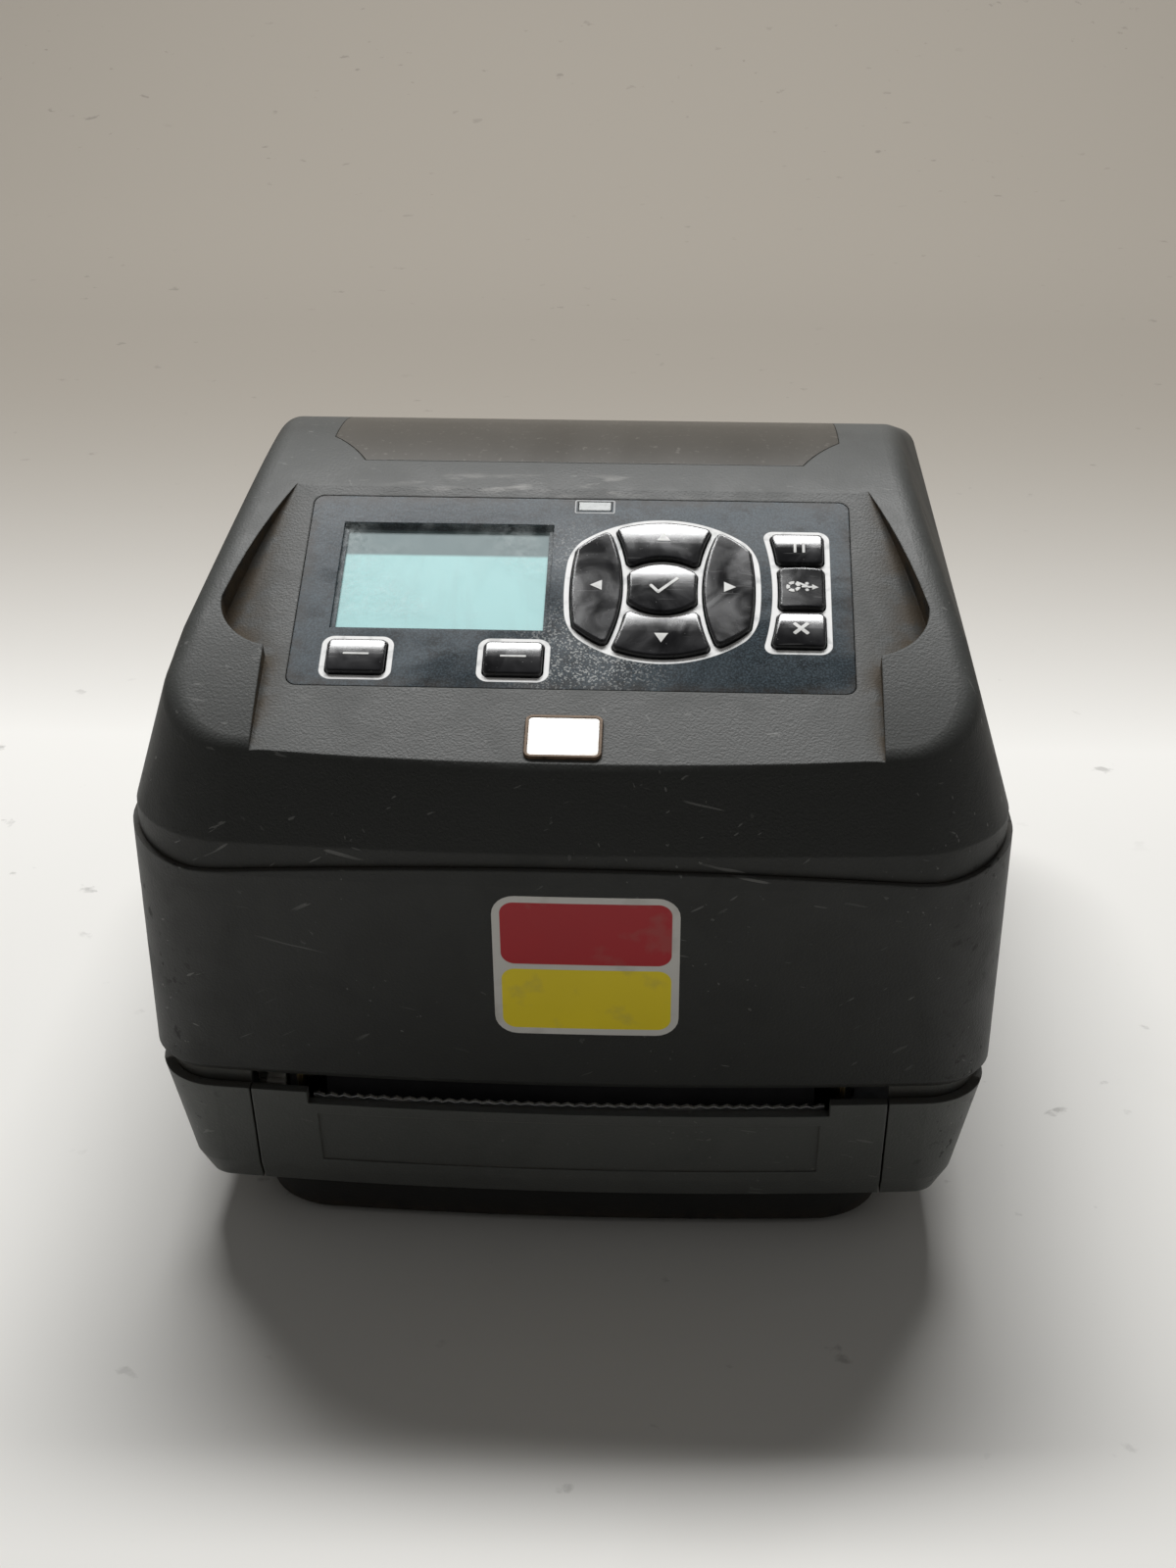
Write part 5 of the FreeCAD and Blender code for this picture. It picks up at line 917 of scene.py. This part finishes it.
class PRINTER_OT_works(bpy.types.Operator):
    """Finish the rollers, gears, frames, head, boards and feet"""

    bl_idname = "printer.works"
    bl_label = "Works"

    def execute(self, context):
        dress({
            "foot_rubber": rubber("Foot rubber", (0.030, 0.030, 0.031), 0.5 * MM),
            "platen_rubber": rubber("Platen rubber", (0.060, 0.060, 0.064), 0.25 * MM),
            "plain_steel": metal("Turned steel", (0.56, 0.57, 0.58), 0.30, (0.05, 1.0, 1.0)),
            "frame_steel": metal("Zinc sheet", (0.46, 0.47, 0.48), 0.38, spangle=0.5),
            "bushing_brass": metal("Bushing brass", (0.66, 0.50, 0.24), 0.34,
                                   stain=(0.2, 0.11, 0.05)),
            "head_metal": metal("Milled aluminium", (0.68, 0.69, 0.70), 0.36, (0.06, 1.0, 1.0)),
            "gear_plastic": acetal("Gear acetal", (0.74, 0.72, 0.66)),
            "head_ceramic": acetal("Head ceramic", (0.60, 0.57, 0.50)),
            "board_laminate": laminate("Board laminate", (0.012, 0.085, 0.040)),
        })
        return {"FINISHED"}


class PRINTER_OT_panel(bpy.types.Operator):
    """Finish the panel film, keys, display and status lens"""

    bl_idname = "printer.panel"
    bl_label = "Control panel"

    def execute(self, context):
        looks = context.scene.printer_panel
        dress({
            "overlay_film": panel_film("Panel film", looks.film, tuple(looks.print)),
            "key_plastic": key_gloss("Key gloss", looks.keys),
            "lens_clear": display_glass("Display glass", (0.72, 0.80, 0.80)),
            "display_panel": display_face("Display face", looks.display, looks.painted_reflection),
            "light_lens": lamp_lens("Status lens", (0.34, 0.36, 0.35)),
        })
        return {"FINISHED"}


class PRINTER_OT_symbols(bpy.types.Operator):
    """Lay the symbols on the keys"""

    bl_idname = "printer.symbols"
    bl_label = "Key symbols"

    def execute(self, context):
        ink = print_ink("Symbol ink", tuple(context.scene.printer_panel.symbols))
        for key, (draw, x, t, *turn) in KEY_SYMBOLS.items():
            bm = bmesh.new()
            draw(bm, x * MM, t * MM, *turn)
            for axis in PANEL.to_3x3().col[:2]:
                sliced(bm, PANEL @ Vector((x * MM, t * MM, 0.0)), axis, SYMBOL_SLICE, 7)
            dropped(bm, key, PANEL_UP, PANEL.translation)
            finish_piece(key + "_symbol", bm, [ink], key)
        return {"FINISHED"}


class PRINTER_OT_sockets(bpy.types.Operator):
    """Fit the contacts, their blocks and the studs to the sockets, and mark the switch"""

    bl_idname = "printer.sockets"
    bl_label = "Sockets"

    def execute(self, context):
        def worn(node):
            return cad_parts[node].material_slots[0].material

        gold = metal("Contact gold", (0.80, 0.60, 0.26), 0.26)
        ink = print_ink("Switch ink", tuple(context.scene.printer_panel.symbols))
        for name, draw, material, body, slot in (
                ("socket_contacts", contacts, gold, "base", "bushing_brass"),
                ("socket_inserts", inserts, worn("power_inlet"), "base", "socket_plastic"),
                ("socket_studs", studs, worn("data_ports"), "base", "plain_steel"),
                ("power_switch_marks", switch_marks, ink, "power_switch", "switch_plastic")):
            bm = bmesh.new()
            draw(bm)
            finish_piece(name, bm, [material], body)
        return {"FINISHED"}


class PRINTER_OT_badge(bpy.types.Operator):
    """Fit the bare badge plate to the lid"""

    bl_idname = "printer.badge"
    bl_label = "Badge"

    def execute(self, context):
        sizes = context.scene.printer_trim
        bm = bmesh.new()
        badge_plate(bm, sizes)
        finish_piece("badge", bm, [badge_metal("Badge rim", tuple(sizes.badge_rim)),
                                   badge_metal("Badge face", tuple(sizes.badge_face))],
                     "lid")
        return {"FINISHED"}


class PRINTER_OT_sticker(bpy.types.Operator):
    """Stick the blank two-colour label to the front of the shell"""

    bl_idname = "printer.sticker"
    bl_label = "Sticker"

    def execute(self, context):
        sizes = context.scene.printer_trim
        bm = bmesh.new()
        sticker_sheet(bm, sizes)
        finish_piece("sticker", bm, [sticker_vinyl("Sticker vinyl", sizes)], "lid")
        return {"FINISHED"}


class PRINTER_OT_stage(bpy.types.Operator):
    """Lay the paper sweep, hang the soft light and set the camera"""

    bl_idname = "printer.stage"
    bl_label = "Studio"

    def execute(self, context):
        looks = context.scene.printer_stage
        self.sweep(looks)
        self.light(looks)
        self.camera()
        context.scene.view_settings.view_transform = "Standard"
        return {"FINISHED"}

    def sweep(self, looks):
        """A floor that turns up into a wall behind the printer."""
        bm = bmesh.new()
        ends = [bm.verts.new((side * SWEEP_HALF, SWEEP_FRONT, 0.0)) for side in (-1.0, 1.0)]
        run = self.drawn(bm, bm.edges.new(ends), (0.0, SWEEP_BACK - SWEEP_FRONT, 0.0))
        turned = bmesh.ops.spin(bm, geom=[run], cent=(0.0, SWEEP_BACK, COVE_RADIUS),
                                axis=(1.0, 0.0, 0.0), angle=math.radians(90.0), steps=24)
        last = [e for e in turned["geom_last"] if isinstance(e, bmesh.types.BMEdge)][0]
        self.drawn(bm, last, (0.0, 0.0, WALL_HEIGHT))
        bmesh.ops.recalc_face_normals(bm, faces=bm.faces)
        mesh = bpy.data.meshes.new("paper_sweep")
        bm.to_mesh(mesh)
        bm.free()
        for face in mesh.polygons:
            face.use_smooth = True
        mesh.materials.append(self.paper(looks))
        sweep = bpy.data.objects.new("paper_sweep", mesh)
        bpy.context.scene.collection.objects.link(sweep)

    def drawn(self, bm, edge, step):
        """Draws an edge out into a face and gives the new edge."""
        made = bmesh.ops.extrude_edge_only(bm, edges=[edge])["geom"]
        verts = [v for v in made if isinstance(v, bmesh.types.BMVert)]
        bmesh.ops.translate(bm, vec=step, verts=verts)
        return [e for e in made if isinstance(e, bmesh.types.BMEdge)
                and all(v in verts for v in e.verts)][0]

    def paper(self, looks):
        """Pale paper with smudges and specks; painted shade darkens it to the back and painted
        light lifts the wall.
        """
        f = Finish("Paper")
        cloud = f.noise(2.2, 4.0)
        smudge = f.noise(9.0, 5.0, distortion=0.7).above(0.60, 0.16) * f.y.below(-0.1, 0.3)
        speck = f.noise(70.0, 5.0).above(0.70, 0.04) * f.noise(5.0).above(0.5, 0.15)
        tone = f.mix(cloud, shade(looks.paper, 0.95), looks.paper)
        # Towards the back the floor fades into the darker backdrop tone, a painted shade.
        ahead = f.y.below(*FLOOR_FADE)
        tone = f.mix(ahead * ahead * ahead, looks.backdrop, tone)
        # The wall is lightened again, a painted light.
        tone = f.mix(f.y.above(*WALL_FADE), tone, shade(looks.backdrop, 1.4))
        tone = f.mix(smudge * 0.10, tone, (0.32, 0.30, 0.27))
        tone = f.mix(speck * 0.35, tone, (0.12, 0.11, 0.10))
        return f.end({"Base Color": tone, "Roughness": 0.85, "Specular IOR Level": 0.1})

    def light(self, looks):
        """One soft lamp above and behind, and a low even fill that is strongest at the sides."""
        data = bpy.data.lights.new("soft_key", "AREA")
        data.shape = "RECTANGLE"
        data.size, data.size_y = LAMP_SIZE
        data.energy = looks.key_power
        lamp = bpy.data.objects.new("soft_key", data)
        lamp.location = LAMP_PLACE
        lamp.rotation_mode = "QUATERNION"
        lamp.rotation_quaternion = (LAMP_AIM - LAMP_PLACE).to_track_quat("-Z", "Y")
        bpy.context.scene.collection.objects.link(lamp)
        world = bpy.data.worlds.new("even_fill")
        world.use_nodes = True
        nodes = Nodes(world.node_tree)
        sideways = abs(nodes.parts(nodes.node("ShaderNodeTexCoord", output="Generated"))[0])
        level = looks.fill_front + (looks.fill - looks.fill_front) * sideways.above(0.55, 0.7)
        nodes.feed(world.node_tree.nodes["Background"], {"Color": FILL_TINT, "Strength": level})
        bpy.context.scene.world = world

    def camera(self):
        data = bpy.data.cameras.new("camera")
        data.sensor_fit = "VERTICAL"
        data.sensor_width = data.sensor_height = CAMERA_SENSOR
        data.lens = CAMERA_LENS
        data.clip_start, data.clip_end = CAMERA_CLIP
        camera = bpy.data.objects.new("camera", data)
        camera.location = CAMERA_PLACE
        camera.rotation_euler = [math.radians(turn) for turn in CAMERA_TURN]
        bpy.context.scene.collection.objects.link(camera)
        bpy.context.scene.camera = camera


class PRINTER_PT_looks(bpy.types.Panel):
    """The printer's looks, step by step"""

    bl_label = "Printer looks"
    bl_space_type = "VIEW_3D"
    bl_region_type = "UI"
    bl_category = "Printer"

    def draw(self, context):
        for group in GROUPS:
            box = self.layout.box()
            looks = getattr(context.scene, group)
            for prop in looks.__annotations__:
                box.prop(looks, prop)
        for step in STEPS:
            self.layout.operator(step.bl_idname)


STEPS = (PRINTER_OT_case, PRINTER_OT_works, PRINTER_OT_panel, PRINTER_OT_symbols,
         PRINTER_OT_sockets, PRINTER_OT_badge, PRINTER_OT_sticker, PRINTER_OT_stage)
GROUPS = {"printer_case": CaseLooks, "printer_panel": PanelLooks, "printer_trim": TrimLooks,
          "printer_stage": StageLooks}


def register():
    for cls in (*GROUPS.values(), *STEPS, PRINTER_PT_looks):
        bpy.utils.register_class(cls)
    for name, group in GROUPS.items():
        setattr(bpy.types.Scene, name, bpy.props.PointerProperty(type=group))


def unregister():
    for name in GROUPS:
        delattr(bpy.types.Scene, name)
    for cls in reversed((*GROUPS.values(), *STEPS, PRINTER_PT_looks)):
        bpy.utils.unregister_class(cls)


def main():
    register()
    for step in STEPS:
        group, name = step.bl_idname.split(".")
        getattr(getattr(bpy.ops, group), name)()


if __name__ == "__main__":
    main()
